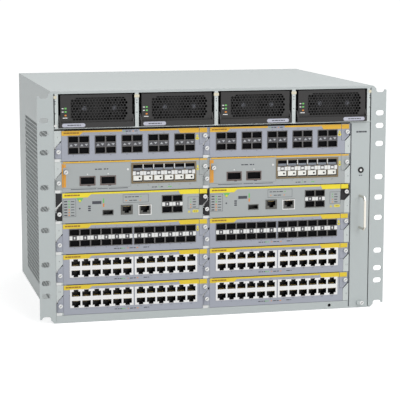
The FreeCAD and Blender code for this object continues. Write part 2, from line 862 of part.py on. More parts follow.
def tray_grip():
    """A bar bent to a pull: two feet on the plate and a straight grip between them."""
    x = (tray_left + tray_right) / 2
    low = grip_height - grip_spacing / 2
    high = grip_height + grip_spacing / 2
    reach = front - grip_reach
    places = [(front, low), (reach + grip_bend, low), (reach, low + grip_bend),
              (reach, high - grip_bend), (reach + grip_bend, high), (front, high)]
    path = Part.makePolygon([FreeCAD.Vector(x, y, z) for y, z in places])
    corners = ring(x, low, grip_radius, 8, math.pi / 8)
    section = Part.makePolygon([FreeCAD.Vector(a, front, b) for a, b in corners + corners[:1]])
    return [path.makePipeShell([section], True, False, 1)]


# ---- write the pieces ----
pivot_y = front + bail_pivot_setback
pivot_z = module_bottom + bail_pivot_rise

save("base_pan", [base_pan()])
save("left_side_panel", [side_panel(-1)])
save("right_side_panel", [side_panel(1)])
save("top_cover", [top_cover()])
save("rear_panel", [rear_panel()])
save("left_rack_ear", [rack_ear(-1)])
save("right_rack_ear", [rack_ear(1)])
save("card_cage", card_cage())
save("backplane", backplane())
save("power_inlets", [power_inlet(x) for x in module_centres])
save("chassis_screws", chassis_screws())

builders = [jack_card, jack_card, cage_card, controller_card, expansion_card, dense_cage_card]
for row, build in enumerate(builders):
    for column in range(2):
        number = 2 * (rows - 1 - row) + column + 1
        save("card_%02d" % number, build(column, row))
        save("card_%02d_left_lever" % number, lower_lever(column, row))
        save("card_%02d_right_lever" % number, upper_lever(column, row))
        if build is expansion_card:
            save("expansion_module_%02d" % number, expansion_module(column, row))

for i, x in enumerate(module_centres):
    save("power_module_%d" % (i + 1), power_module(x))
    save("power_module_%d_bail" % (i + 1), bail(x))

save("fan_tray", fan_tray())
save("fan_rotors", [rotor(y, z) for y, z in fan_places()])
save("fan_tray_grip", tray_grip())
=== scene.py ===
# %% [markdown]
# # A modular chassis switch, dressed in Blender
# The construction model gives every rigid piece its true size and place.  This lesson adds what
# paint, plating, print, moulding and fine perforation do for the eye.  Work is in millimetres and
# becomes metres only when a mesh is written, so the numbers read like the maker's drawing.

# %% Load the frame
import json
import math

import bpy
import numpy as np
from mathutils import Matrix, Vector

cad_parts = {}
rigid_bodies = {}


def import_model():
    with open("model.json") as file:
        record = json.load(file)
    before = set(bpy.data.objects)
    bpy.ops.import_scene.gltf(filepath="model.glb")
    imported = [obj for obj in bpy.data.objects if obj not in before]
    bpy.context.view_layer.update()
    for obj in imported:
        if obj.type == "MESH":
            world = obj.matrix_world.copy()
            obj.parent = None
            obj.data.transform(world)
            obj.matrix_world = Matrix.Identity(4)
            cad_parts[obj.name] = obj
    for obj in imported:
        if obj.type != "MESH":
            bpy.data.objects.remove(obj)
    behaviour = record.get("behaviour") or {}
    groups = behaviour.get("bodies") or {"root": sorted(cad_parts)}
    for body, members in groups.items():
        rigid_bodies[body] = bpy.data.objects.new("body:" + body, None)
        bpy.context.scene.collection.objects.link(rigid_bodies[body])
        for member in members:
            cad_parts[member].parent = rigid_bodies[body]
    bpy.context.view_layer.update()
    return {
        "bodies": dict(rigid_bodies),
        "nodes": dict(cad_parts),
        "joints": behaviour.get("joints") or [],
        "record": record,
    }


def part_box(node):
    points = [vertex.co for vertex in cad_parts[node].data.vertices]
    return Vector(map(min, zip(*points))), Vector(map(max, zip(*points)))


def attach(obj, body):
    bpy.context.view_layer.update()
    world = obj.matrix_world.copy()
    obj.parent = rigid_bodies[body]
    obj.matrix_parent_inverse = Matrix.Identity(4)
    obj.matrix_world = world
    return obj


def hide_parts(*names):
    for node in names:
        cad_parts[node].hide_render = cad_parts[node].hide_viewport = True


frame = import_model()
nodes = frame["nodes"]

# %% [markdown]
# ## Reading places from the frame
# Every added piece sits on a piece of the construction model, so its place starts from that
# piece's box.  A line card's box begins at the tip of its lever lug, a fixed reach to the left of
# the faceplate, which gives the faceplate's own corner.

# %% Places of the cards and modules
MM = 1000.0
LUG_REACH = 9.3


def box_mm(node):
    """Lowest and highest corner of a construction piece, in millimetres."""
    low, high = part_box(node)
    return np.array(low) * MM, np.array(high) * MM


def card_corner(card):
    """x of the faceplate's left edge and z of its lower edge."""
    low, high = box_mm(card)
    return low[0] + LUG_REACH, low[2]


cards = sorted(n for n in nodes if n.startswith("card_") and n[-2:].isdigit())
corner = {card: card_corner(card) for card in cards}
front = box_mm("left_rack_ear")[0][1]
back = box_mm("rear_panel")[1][1]
card_tall = 40.8
card_wide = 198.6
half_wide = box_mm("top_cover")[1][0]
tall = box_mm("top_cover")[1][2]
print("front plane", round(front, 2), "back", round(back, 2), "first card", np.round(corner["card_01"], 2))

# %% [markdown]
# ## Where the camera stands
# A long lens far away, a little left of the middle and above the box, looks slightly down.  The
# aim is set from two angles, so that the same numbers can be read off and changed by hand.

# %% Camera
view = bpy.context.scene.view_settings
view.view_transform = "Standard"
camera_data = bpy.data.cameras.new("camera")
camera = bpy.data.objects.new("camera", camera_data)
bpy.context.scene.collection.objects.link(camera)
bpy.context.scene.camera = camera
camera.location = (-0.4845, -2.1344, 0.4680)
turn, dip = math.radians(13.32), math.radians(8.73)
camera.rotation_euler = (math.pi / 2 - dip, 0, -turn)
camera_data.lens = 135.2
camera_data.sensor_width = 36
camera_data.clip_start = 0.05
camera_data.clip_end = 60
print("camera at", tuple(round(c, 3) for c in camera.location), "lens", camera_data.lens)


# %% [markdown]
# ## Meshes from whole arrays
# A perforated chassis repeats a few simple forms hundreds of times: a flat block, an upright
# prism, a lined pocket.  Each helper below makes all copies of one form in a single array
# calculation, and `piece` writes the result into one mesh.

# %% Writing a mesh
def piece(name, parts, material, body):
    """One object from (points, *faces) parts: points are stacked, and the face numbers of each
    part are shifted by the count of the points before it."""
    points, faces, start = [], [], 0
    for some_points, *face_groups in parts:
        points.append(some_points)
        for group in face_groups:
            faces.extend((group + start).tolist())
        start += len(some_points)
    mesh = bpy.data.meshes.new(name)
    mesh.from_pydata((np.concatenate(points) / MM).tolist(), [], faces)
    mesh.update()
    thing = bpy.data.objects.new(name, mesh)
    bpy.context.scene.collection.objects.link(thing)
    thing.data.materials.append(material)
    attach(thing, body)
    return thing


# %% Flat blocks
BLOCK_CORNERS = np.array([(0, 0, 0), (1, 0, 0), (1, 1, 0), (0, 1, 0),
                          (0, 0, 1), (1, 0, 1), (1, 1, 1), (0, 1, 1)])
BLOCK_FACES = np.array([(0, 3, 2, 1), (4, 5, 6, 7), (0, 1, 5, 4), (1, 2, 6, 5), (2, 3, 7, 6), (3, 0, 4, 7)])


def blocks(boxes):
    """Boxes as rows x0, x1, y0, y1, z0, z1.  A corner is low + step * (high - low), step 0 or 1
    along each axis."""
    boxes = np.atleast_2d(np.asarray(boxes, float))
    low, high = boxes[:, 0::2], boxes[:, 1::2]
    points = low[:, None, :] + BLOCK_CORNERS[None] * (high - low)[:, None, :]
    faces = BLOCK_FACES[None] + 8 * np.arange(len(boxes))[:, None, None]
    return points.reshape(-1, 3), faces.reshape(-1, 4)


def patches(rows, lift=0.12, plane=None):
    """Thin blocks on the front plane, as rows x0, x1, z0, z1: printed or inlaid areas."""
    rows = np.atleast_2d(np.asarray(rows, float))
    y = front if plane is None else plane
    depth = np.full(len(rows), y)
    return blocks(np.stack([rows[:, 0], rows[:, 1], depth - lift, depth, rows[:, 2], rows[:, 3]], 1))


# %% Prisms along the depth
def prisms(outlines, y0, y1):
    """Outlines (count, corners, 2) of x and z, anticlockwise seen from the front, given depth:
    ring 0 lies at y0 and ring 1 at y1, quads join them, and two faces close the ends."""
    outlines = np.asarray(outlines, float)
    count, corners, _ = outlines.shape
    rings = np.empty((count, 2, corners, 3))
    rings[..., 0] = outlines[:, None, :, 0]
    rings[..., 2] = outlines[:, None, :, 1]
    rings[:, 0, :, 1] = y0
    rings[:, 1, :, 1] = y1
    a = np.arange(corners)
    b = (a + 1) % corners
    start = (2 * corners * np.arange(count))[:, None]
    sides = np.stack([b, a, a + corners, b + corners], 1)[None] + start[:, :, None]
    return rings.reshape(-1, 3), sides.reshape(-1, 4), a[None] + start, a[::-1][None] + corners + start


def rounds(centres, radius, sides, turn=0.0):
    """Regular outlines about (x, z) centres: centre + radius * (cos t, sin t)."""
    t = turn + 2 * math.pi * np.arange(sides) / sides
    ring = np.stack([np.cos(t), np.sin(t)], 1) * radius
    return np.asarray(centres, float)[:, None, :] + ring[None]


print("a block has", len(BLOCK_FACES), "faces")


# %% [markdown]
# ## Floor, backdrop and light
# A catalogue picture has a white ground that melts into a white background, with a soft shadow
# under the object.  The floor is a plain matt surface, and only what the camera and reflections
# see of it is lifted to white, so the object gets no extra light from it.

# %% Floor
def node_of(tree, kind, **settings):
    made = tree.nodes.new(kind)
    for key, value in settings.items():
        setattr(made, key, value)
    return made


def new_material(name):
    material = bpy.data.materials.new(name)
    material.use_nodes = True
    tree = material.node_tree
    tree.nodes.clear()
    out = node_of(tree, "ShaderNodeOutputMaterial")
    return material, tree, out


def seen_directly(tree):
    """1 for camera, mirror and see-through rays, 0 for the rays that light things."""
    path = node_of(tree, "ShaderNodeLightPath")
    first = node_of(tree, "ShaderNodeMath", operation="MAXIMUM")
    second = node_of(tree, "ShaderNodeMath", operation="MAXIMUM")
    tree.links.new(path.outputs["Is Camera Ray"], first.inputs[0])
    tree.links.new(path.outputs["Is Glossy Ray"], first.inputs[1])
    tree.links.new(first.outputs[0], second.inputs[0])
    tree.links.new(path.outputs["Is Transmission Ray"], second.inputs[1])
    return second.outputs[0]


ground, tree, out = new_material("white_ground")
matt = node_of(tree, "ShaderNodeBsdfDiffuse")
matt.inputs["Color"].default_value = (0.80, 0.80, 0.80, 1)
lift = node_of(tree, "ShaderNodeEmission")
lift.inputs["Strength"].default_value = 0.60
both = node_of(tree, "ShaderNodeAddShader")
choose = node_of(tree, "ShaderNodeMixShader")
tree.links.new(matt.outputs[0], both.inputs[0])
tree.links.new(lift.outputs[0], both.inputs[1])
tree.links.new(seen_directly(tree), choose.inputs[0])
tree.links.new(matt.outputs[0], choose.inputs[1])
tree.links.new(both.outputs[0], choose.inputs[2])
tree.links.new(choose.outputs[0], out.inputs["Surface"])
FLOOR = 12.0
floor_mesh = bpy.data.meshes.new("floor")
floor_mesh.from_pydata([(-FLOOR, -FLOOR, 0), (FLOOR, -FLOOR, 0), (FLOOR, FLOOR, 0), (-FLOOR, FLOOR, 0)], [],
                       [(0, 1, 2, 3)])
floor_mesh.materials.append(ground)
floor = bpy.data.objects.new("floor", floor_mesh)
bpy.context.scene.collection.objects.link(floor)
floor.location.z = -0.0005

# %% World and lamps
world = bpy.data.worlds.new("world")
bpy.context.scene.world = world
world.use_nodes = True
tree = world.node_tree
tree.nodes.clear()
out = node_of(tree, "ShaderNodeOutputWorld")
sky = node_of(tree, "ShaderNodeBackground")
sky.inputs["Color"].default_value = (1, 1, 1, 1)
sky.inputs["Strength"].default_value = 0.56
white = node_of(tree, "ShaderNodeBackground")
white.inputs["Color"].default_value = (1, 1, 1, 1)
white.inputs["Strength"].default_value = 1.05
choose = node_of(tree, "ShaderNodeMixShader")
tree.links.new(seen_directly(tree), choose.inputs[0])
tree.links.new(sky.outputs[0], choose.inputs[1])
tree.links.new(white.outputs[0], choose.inputs[2])
tree.links.new(choose.outputs[0], out.inputs["Surface"])


def lamp(name, place, aim, size, watts):
    data = bpy.data.lights.new(name, "AREA")
    data.shape = "SQUARE"
    data.size = size
    data.energy = watts
    thing = bpy.data.objects.new(name, data)
    bpy.context.scene.collection.objects.link(thing)
    thing.location = place
    direction = np.array(aim, float) - np.array(place, float)
    yaw = math.atan2(direction[0], direction[1])
    pitch = math.atan2(direction[2], math.hypot(direction[0], direction[1]))
    thing.rotation_euler = (math.pi / 2 + pitch, 0, -yaw)
    return thing


lamp("key_above", (0.5, -0.9, 2.6), (0, 0, 0.2), 1.6, 26)
lamp("fill_front", (0.8, -2.6, 1.1), (0, 0, 0.15), 1.2, 16)

# %% [markdown]
# ## Paints, platings and plastics
# Powder coat is matt with a fine grain; plated sheet is brighter and streaked along the rolling
# direction; moulded plastic is smooth.  One small builder makes them all from a colour, a
# roughness and an optional grain, read in object space so that nothing slides when a card moves.

# %% Finish builder
def finish(name, colour, rough=0.5, metal=0.0, grain=0.0, grain_size=900.0, stretch=(1, 1, 1), vary=0.0,
           coat=0.0, gleam=0.5):
    """A principled surface.  Height = noise(place * grain_size * stretch); colour is multiplied by
    1 - vary .. 1 + vary from the same noise."""
    material, tree, out = new_material(name)
    surface = node_of(tree, "ShaderNodeBsdfPrincipled")
    surface.inputs["Base Color"].default_value = (*colour, 1)
    surface.inputs["Roughness"].default_value = rough
    surface.inputs["Metallic"].default_value = metal
    surface.inputs["Coat Weight"].default_value = coat
    surface.inputs["Specular IOR Level"].default_value = gleam
    tree.links.new(surface.outputs[0], out.inputs["Surface"])
    if grain or vary:
        where = node_of(tree, "ShaderNodeTexCoord")
        scaled = node_of(tree, "ShaderNodeMapping")
        scaled.inputs["Scale"].default_value = stretch
        noise = node_of(tree, "ShaderNodeTexNoise")
        noise.inputs["Scale"].default_value = grain_size
        noise.inputs["Detail"].default_value = 3
        tree.links.new(where.outputs["Object"], scaled.inputs[0])
        tree.links.new(scaled.outputs[0], noise.inputs["Vector"])
    if grain:
        bump = node_of(tree, "ShaderNodeBump")
        bump.inputs["Strength"].default_value = grain
        bump.inputs["Distance"].default_value = 0.0004
        tree.links.new(noise.outputs["Fac"], bump.inputs["Height"])
        tree.links.new(bump.outputs[0], surface.inputs["Normal"])
    if vary:
        blend = node_of(tree, "ShaderNodeMix", data_type="RGBA")
        blend.inputs["A"].default_value = (*[c * (1 - vary) for c in colour], 1)
        blend.inputs["B"].default_value = (*[min(1, c * (1 + vary)) for c in colour], 1)
        tree.links.new(noise.outputs["Fac"], blend.inputs["Factor"])
        tree.links.new(blend.outputs["Result"], surface.inputs["Base Color"])
    return material


def srgb(red, green, blue):
    """A display colour, 0 to 255, as the linear value a shader takes."""
    c = np.array([red, green, blue]) / 255
    return tuple(float(v) for v in np.where(c <= 0.04045, c / 12.92, ((c + 0.055) / 1.055) ** 2.4))


# %% Finishes
shell_paint = finish("shell_paint", srgb(186, 193, 193), 0.5, grain=0.25, grain_size=1400, vary=0.03)
plated_sheet = finish("plated_sheet", srgb(192, 198, 197), 0.45, metal=0.25, grain=0.15, grain_size=500,
                      stretch=(1, 1, 8), vary=0.04)
lilac_paint = finish("lilac_paint", srgb(163, 167, 178), 0.45, grain=0.15, grain_size=1500, vary=0.02)
grey_paint = finish("grey_paint", srgb(169, 174, 174), 0.45, grain=0.15, grain_size=1500, vary=0.02)
black_paint = finish("black_paint", (0.012, 0.012, 0.013), 0.45, grain=0.2, grain_size=1600, gleam=0.3)
black_moulding = finish("black_moulding", (0.008, 0.008, 0.009), 0.4, gleam=0.3)
# painted shade: near-black for the dark depth of cage mouths and of small holes
dark_hollow = finish("dark_hollow", (0.004, 0.004, 0.005), 0.7, gleam=0.08)
tin_plate = finish("tin_plate", srgb(205, 205, 200), 0.32, metal=0.9, grain=0.15, grain_size=700, vary=0.06)
# white moulding, and painted highlight on the seam ledges and the glints of the port strips
white_moulding = finish("white_moulding", srgb(232, 233, 232), 0.4)
gold_contact = finish("gold_contact", (0.83, 0.60, 0.22), 0.28, metal=1.0)
board_green = finish("board_green", (0.015, 0.12, 0.05), 0.3, vary=0.25, grain_size=300, coat=0.3)
warm_yellow = finish("warm_yellow", srgb(229, 180, 48), 0.45)
lemon_yellow = finish("lemon_yellow", srgb(228, 200, 48), 0.45)
light_yellow = finish("light_yellow", srgb(242, 222, 46), 0.45)
white_print = finish("white_print", srgb(240, 240, 238), 0.5)
# dark print, and painted shade for screw slots, small holes and the tray's edge line
dark_print = finish("dark_print", srgb(62, 64, 72), 0.5)
lamp_green = finish("lamp_green", srgb(110, 190, 100), 0.3)
lamp_amber = finish("lamp_amber", srgb(224, 140, 48), 0.3)
bright_steel = finish("bright_steel", srgb(214, 210, 200), 0.16, metal=1.0)
zinc_steel = finish("zinc_steel", srgb(198, 198, 196), 0.3, metal=0.85, vary=0.08, grain_size=400)
print("finishes", len(bpy.data.materials))

# %% Give the construction pieces their finishes
finish_of_slot = {"shell_paint": shell_paint, "cage_paint": plated_sheet, "circuit_board": board_green,
                  "black_plastic": black_moulding, "screw_steel": zinc_steel, "lilac_face": lilac_paint,
                  "grey_face": grey_paint, "black_lever": black_paint, "black_steel": black_paint,
                  "bright_steel": bright_steel}
slot_of = {entry["node"]: entry["material_slot"] for entry in frame["record"]["subparts"]}
for name, thing in nodes.items():
    thing.data.materials.clear()
    thing.data.materials.append(finish_of_slot[slot_of[name]])
print("construction pieces finished", len(nodes))

# %% [markdown]
# ## A line card in zones
# On a real card the faceplate is painted, the port blocks behind it are plated or moulded and
# stand a little proud, and the board inside is green.  The construction model holds them in one
# piece, so its finish is chosen by place: depth tells the block's rim, the painted sheet and the
# inside apart, and height above the card's own floor tells the board from the sheet steel.  The
# inside of the port blocks is near-black: painted shade for the depth of the port mouths.

# %% Zoned finish of a card
CARD_PITCH = 41.4
CARD_FLOOR = 10.8
BOARD_LOW, BOARD_HIGH = 7.5, 9.35


def mix_colours(tree, factor, first, second):
    """first where factor is 0, second where it is 1; each is a colour or another node's output."""
    blend = node_of(tree, "ShaderNodeMix", data_type="RGBA")
    tree.links.new(factor, blend.inputs["Factor"])
    for socket, value in (("A", first), ("B", second)):
        if isinstance(value, tuple):
            blend.inputs[socket].default_value = (*value, 1)
        else:
            tree.links.new(value, blend.inputs[socket])
    return blend.outputs["Result"]


def compute(tree, operation, *values):
    made = node_of(tree, "ShaderNodeMath", operation=operation)
    for socket, value in zip(made.inputs, values):
        if isinstance(value, (int, float)):
            socket.default_value = value
        else:
            tree.links.new(value, socket)
    return made.outputs[0]


def zoned_card(name, paint, rim, rim_metal):
    """Colour by depth y and by height z above the card's floor, all in millimetres."""
    material, tree, out = new_material(name)
    surface = node_of(tree, "ShaderNodeBsdfPrincipled")
    tree.links.new(surface.outputs[0], out.inputs["Surface"])
    where = node_of(tree, "ShaderNodeTexCoord")
    split = node_of(tree, "ShaderNodeSeparateXYZ")
    tree.links.new(where.outputs["Object"], split.inputs[0])
    x = compute(tree, "MULTIPLY", split.outputs["X"], MM)
    y = compute(tree, "MULTIPLY", split.outputs["Y"], MM)
    z = compute(tree, "MULTIPLY", split.outputs["Z"], MM)
    height = compute(tree, "MODULO", compute(tree, "SUBTRACT", z, CARD_FLOOR), CARD_PITCH)
    is_rim = compute(tree, "LESS_THAN", y, float(front) - 0.05)
    across = compute(tree, "MODULO", compute(tree, "SUBTRACT", x, float(corner["card_01"][0]) - 401.2), 200.6)
    in_ports = compute(tree, "COMPARE", across, 96.0, 90.0)
    # painted shade: near-black inside the port blocks, standing for the shade deep in the port mouths
    in_shaded_ports = compute(tree, "MULTIPLY", compute(tree, "GREATER_THAN", y, float(front) + 1.6), in_ports)
    is_behind = compute(tree, "GREATER_THAN", y, float(front) + 15.1)
    is_board = compute(tree, "COMPARE", height, (BOARD_LOW + BOARD_HIGH) / 2, (BOARD_HIGH - BOARD_LOW) / 2)
    is_low = compute(tree, "LESS_THAN", height, BOARD_LOW)
    deep = mix_colours(tree, is_low, (0.02, 0.02, 0.022), srgb(176, 180, 182))
    deep = mix_colours(tree, is_board, deep, (0.015, 0.12, 0.05))
    inside = mix_colours(tree, is_behind, (0.010, 0.010, 0.012), deep)
    colour = mix_colours(tree, in_shaded_ports, paint, inside)
    colour = mix_colours(tree, is_rim, colour, rim)
    tree.links.new(colour, surface.inputs["Base Color"])
    metal = compute(tree, "MULTIPLY", is_rim, rim_metal)
    tree.links.new(metal, surface.inputs["Metallic"])
    surface.inputs["Roughness"].default_value = 0.42
    return material


lilac, grey = srgb(163, 167, 178), srgb(169, 174, 174)
jack_face = zoned_card("jack_card_finish", lilac, srgb(240, 240, 240), 0.0)
cage_face = zoned_card("cage_card_finish", lilac, srgb(92, 90, 92), 0.5)
grey_cage_face = zoned_card("expansion_card_finish", grey, srgb(118, 104, 78), 0.6)
control_face = zoned_card("controller_card_finish", grey, srgb(88, 88, 84), 0.4)
kinds = {"dense": ("card_01", "card_02"), "expansion": ("card_03", "card_04"),
         "controller": ("card_05", "card_06"), "cage": ("card_07", "card_08"),
         "jack": ("card_09", "card_10", "card_11", "card_12")}
kind_of = {card: kind for kind, members in kinds.items() for card in members}
face_finish = {"dense": cage_face, "expansion": grey_cage_face, "controller": control_face,
               "cage": cage_face, "jack": jack_face}
for card in cards:
    nodes[card].data.materials[0] = face_finish[kind_of[card]]
for module in ("expansion_module_03", "expansion_module_04"):
    nodes[module].data.materials[0] = zoned_card(module + "_finish", grey, srgb(104, 88, 84), 0.5)
print("card kinds", {kind: len(members) for kind, members in kinds.items()})

# %% [markdown]
# ## Lining the ports
# A port is a deep pocket with its own skin: folded tin plate round a transceiver cage, black
# moulding in a network socket with eight gilt springs on the side away from the latch.  A liner is
# four rings carried from the rim to the floor and closed at both ends, made for all ports at once.

# %% Port outlines
BLOCK_FACE = front - 0.4
POCKET = 12.0
JACK_PITCH, JACK_HALF, JACK_TALL, LATCH_HALF, LATCH_TALL = 13.97, 5.8, 6.6, 3.1, 2.6
CAGE_PITCH, CAGE_WIDE, CAGE_TALL = 14.25, 13.4, 8.6
PORT_BASE = 9.2


def jack_outlines(centres, up):
    """Stepped mouths about centres (x, z of the plain side).  Corners run anticlockwise; sign
    turns the latch step up or down, and the order is reversed when it is down."""
    sign = 1 if up else -1
    wide, narrow = JACK_HALF, LATCH_HALF
    step, end = sign * JACK_TALL, sign * (JACK_TALL + LATCH_TALL)
    shape = np.array([(-wide, 0), (wide, 0), (wide, step), (narrow, step), (narrow, end), (-narrow, end),
                      (-narrow, step), (-wide, step)])
    inward = np.array([(1, sign), (-1, sign)] + [(-1, -sign)] * 3 + [(1, -sign)] * 3, float)
    if not up:
        shape, inward = shape[::-1], inward[::-1]
    outlines = np.asarray(centres, float)[:, None, :] + shape[None]
    return outlines, np.broadcast_to(inward, outlines.shape)


def box_outlines(rows):
    """Rectangular mouths from rows x0, x1, z0, z1."""
    x0, x1, z0, z1 = np.asarray(rows, float).T
    outlines = np.stack([np.stack([x0, z0], 1), np.stack([x1, z0], 1), np.stack([x1, z1], 1),
                         np.stack([x0, z1], 1)], 1)
    inward = np.array([(1, 1), (-1, 1), (-1, -1), (1, -1)], float)
    return outlines, np.broadcast_to(inward, outlines.shape)


def liners(outlines, inward, wall, y0, y1):
    """Closed cups.  Ring 0 is the outline at y0, ring 1 the outline moved inward by the wall at
    y0, ring 2 the same at y1 less the wall, ring 3 the outline at y1."""
    count, corners, _ = outlines.shape
    inner = outlines + inward * wall
    outer = outlines + inward * 0.03
    rings = np.empty((count, 4, corners, 3))
    for i, (ring, y) in enumerate(((outer, y0), (inner, y0), (inner, y1 - wall), (outer, y1))):
        rings[:, i, :, 0] = ring[..., 0]
        rings[:, i, :, 1] = y
        rings[:, i, :, 2] = ring[..., 1]
    a = np.arange(corners)
    b = (a + 1) % corners
    k = corners
    quads = np.concatenate([np.stack([a, b, b + k, a + k], 1),
                            np.stack([a + k, b + k, b + 2 * k, a + 2 * k], 1),
                            np.stack([b, a, a + 3 * k, b + 3 * k], 1)])
    start = (4 * k * np.arange(count))[:, None]
    walls = (quads[None] + start[:, :, None]).reshape(-1, 4)
    return rings.reshape(-1, 3), walls, (a + 2 * k)[None] + start, (a[::-1] + 3 * k)[None] + start


def bank_columns(left, columns, pitch, frame):
    return left + frame + (np.arange(columns) + 0.5) * pitch


def jack_bank_centres(left, bottom, columns=6):
    """x, z of each mouth's plain side: upper row first, then lower row."""
    x = bank_columns(left, columns, JACK_PITCH, 1.3)
    upper = bottom + 25.2 - 0.5 - JACK_TALL - LATCH_TALL
    lower = bottom + 0.5 + JACK_TALL + LATCH_TALL
    return np.stack([x, np.full(columns, upper)], 1), np.stack([x, np.full(columns, lower)], 1)


def cage_rows(left, bottom, columns, frame=0.0):
    """x0, x1, z0, z1 of each cage mouth: lower row, then upper row."""
    x = bank_columns(left, columns, CAGE_PITCH, frame)
    total = 24.2 + 2 * frame
    rows = []
    for low in (bottom + frame + 0.4, bottom + total - frame - 0.4 - CAGE_TALL):
        rows.append(np.stack([x - CAGE_WIDE / 2, x + CAGE_WIDE / 2, np.full(columns, low),
                              np.full(columns, low + CAGE_TALL)], 1))
    return rows


# %% Where each card's ports are
jacks_up, jacks_down, cages_low, cages_high = {}, {}, {}, {}
for card in cards:
    left, low = corner[card]
    base = low + PORT_BASE
    kind = kind_of[card]
    ups, downs, lows, highs = [], [], [], []
    if kind == "jack":
        for bank in (left + 8.6, left + 8.6 + 88.2):
            upper, lower = jack_bank_centres(bank, base)
            ups.append(upper)
            downs.append(lower)
    banks = {"cage": [(left + 8.6, 6, 0), (left + 8.6 + 87.28, 6, 0)],
             "dense": [(left + 8.6 + i * 35.8, 2, 0) for i in range(5)],
             "expansion": [(left + 93.2, 6, 1.6)], "controller": [(left + 134.6, 2, 0)]}.get(kind, [])
    for bank, columns, rim in banks:
        lower, upper = cage_rows(bank, base, columns, rim)
        lows.append(lower)
        highs.append(upper)
    if kind == "controller":
        middle = base + JACK_TALL + LATCH_TALL + 3.6 - 1.6
        downs.append(np.array([(left + 78.6 + 7.985, middle), (left + 103.4 + 7.985, middle)]))
    if ups:
        jacks_up[card] = np.concatenate(ups)
    if downs:
        jacks_down[card] = np.concatenate(downs)
    if lows:
        cages_low[card], cages_high[card] = np.concatenate(lows), np.concatenate(highs)
print("sockets", sum(map(len, jacks_up.values())) + sum(map(len, jacks_down.values())),
      "cages", sum(map(len, cages_low.values())) * 2)

# %% Sockets: black liners and gilt springs
for card in jacks_down:
    parts, springs = [], []
    for centres, up in ((jacks_up.get(card), True), (jacks_down[card], False)):
        if centres is None:
            continue
        outlines, inward = jack_outlines(centres, up)
        parts.append(liners(outlines, inward, 0.25, BLOCK_FACE - 0.05, BLOCK_FACE + POCKET - 0.05))
        across = (np.arange(8) - 3.5) * 1.02
        x = (centres[:, 0][:, None] + across[None]).ravel()
        z = np.repeat(centres[:, 1] + (0.75 if up else -0.75), 8)
        y = np.full(len(x), BLOCK_FACE)
        springs.append(blocks(np.stack([x - 0.2, x + 0.2, y + 2.0, y + 9.0, z - 0.2, z + 0.2], 1)))
    piece(card + "_socket_liners", parts, black_moulding, card)
    piece(card + "_socket_springs", springs, gold_contact, card)
print("socket cards", list(jacks_down))

# %% Transceiver cages: steel sleeves with a near-black block inside them, painted shade
sleeve_steel = finish("sleeve_steel", srgb(120, 118, 116), 0.4, metal=0.8)
for body in list(cages_low) + ["expansion_module_03", "expansion_module_04"]:
    if body in cages_low:
        rows = np.concatenate([cages_low[body], cages_high[body]])
    else:
        left, low = corner["card_" + body[-2:]]
        x = left + 1.6 + 23.0 + np.array([0.0, 27.6])
        z = low + 5.4 + 4.6
        rows = np.stack([x, x + 19.0, np.full(2, z), np.full(2, z + 9.8)], 1)
    outlines, inward = box_outlines(rows)
    sleeves = [liners(outlines, inward, 0.3, BLOCK_FACE - 0.3, BLOCK_FACE + 6.0)]
    piece(body + "_cage_sleeves", sleeves, sleeve_steel, body)
    # painted shade: a near-black block a few millimetres into each cage stands for its dark depth
    inner = rows + np.array([0.36, -0.36, 0.36, -0.36])
    shade_blocks = blocks(np.stack([inner[:, 0], inner[:, 1], np.full(len(rows), BLOCK_FACE + 3.2),
                              np.full(len(rows), BLOCK_FACE + 5.6), inner[:, 2], inner[:, 3]], 1))
    piece(body + "_cage_floors", [shade_blocks], dark_hollow, body)
print("cages lined on", len(cages_low) + 2, "pieces")

# %% [markdown]
# ## Printed stripes
# Each card carries a coloured band along its top: a deep tab at the left with a slanted end, a
# thin line, and a second tab that runs on over the ejector lever.  They are thin inlays a tenth
# of a millimetre proud, and the part on the lever rides with the lever.

# %% Bands
LEVER_EDGE = 186.2
INLAY = 0.12
COVER_FACE = front - 0.3


def band_parts(left, low, first_end, gap, second_start):
    """Outlines x, z of the band: tab, line, line, tab.  gap is the bare stretch for the legend."""
    top, line, tab = low + 40.2, low + 37.9, low + 34.0
    x = left
    pieces = [[(x + 0.3, tab), (x + first_end - 7, tab), (x + first_end, top), (x + 0.3, top)]]
    if gap:
        pieces.append([(x + first_end - 2.5, line), (x + gap[0], line), (x + gap[0], top),
                       (x + first_end, top)])
        pieces.append([(x + gap[1], line), (x + second_start, line), (x + second_start, top),
                       (x + gap[1], top)])
    else:
        pieces.append([(x + first_end - 2.5, line), (x + second_start, line), (x + second_start, top),
                       (x + first_end, top)])
    pieces.append([(x + second_start + 4, tab), (x + LEVER_EDGE - 0.5, tab), (x + LEVER_EDGE - 0.5, top),
                   (x + second_start, top)])
    return np.array(pieces, float)


def inlay(outlines, lift=INLAY, plane=None):
    y = front if plane is None else plane
    return prisms(outlines, y - lift, y)


for card in cards:
    left, low = corner[card]
    kind = kind_of[card]
    paint = {"controller": light_yellow, "cage": lemon_yellow, "jack": lemon_yellow}.get(kind, warm_yellow)
    gap = (80.9, 104.8) if kind == "dense" else None
    if kind == "expansion":
        thin = [[(left + 1.6, low + 38.8), (left + 92.2, low + 38.8), (left + 92.2, low + 40.6),
                 (left + 1.6, low + 40.6)],
                [(left + 93.1, low + 38.3), (left + LEVER_EDGE - 0.5, low + 38.3),
                 (left + LEVER_EDGE - 0.5, low + 40.6), (left + 93.1, low + 40.6)]]
        parts = [inlay(np.array(thin))]
    else:
        parts = [inlay(band_parts(left, low, 31.0 if kind == "dense" else 41.0, gap, 156.0))]
    piece(card + "_band", parts, paint, card)
    lever = card + "_right_lever"
    drop = 38.3 if kind == "expansion" else 34.0
    over = [[(left + 186.4, low + drop), (left + 196.8, low + drop), (left + 196.8, low + 40.2),
             (left + 186.4, low + 40.2)]]
    piece(lever + "_band", [inlay(np.array(over, float), INLAY, COVER_FACE)], paint, lever)
print("bands on", len(cards), "cards")

# %% [markdown]
# ## Plain figures
# Ports and slots are numbered.  Blender's own font gives each digit once as a flat mesh; every
# number on the object is then a shifted and scaled copy of those points.

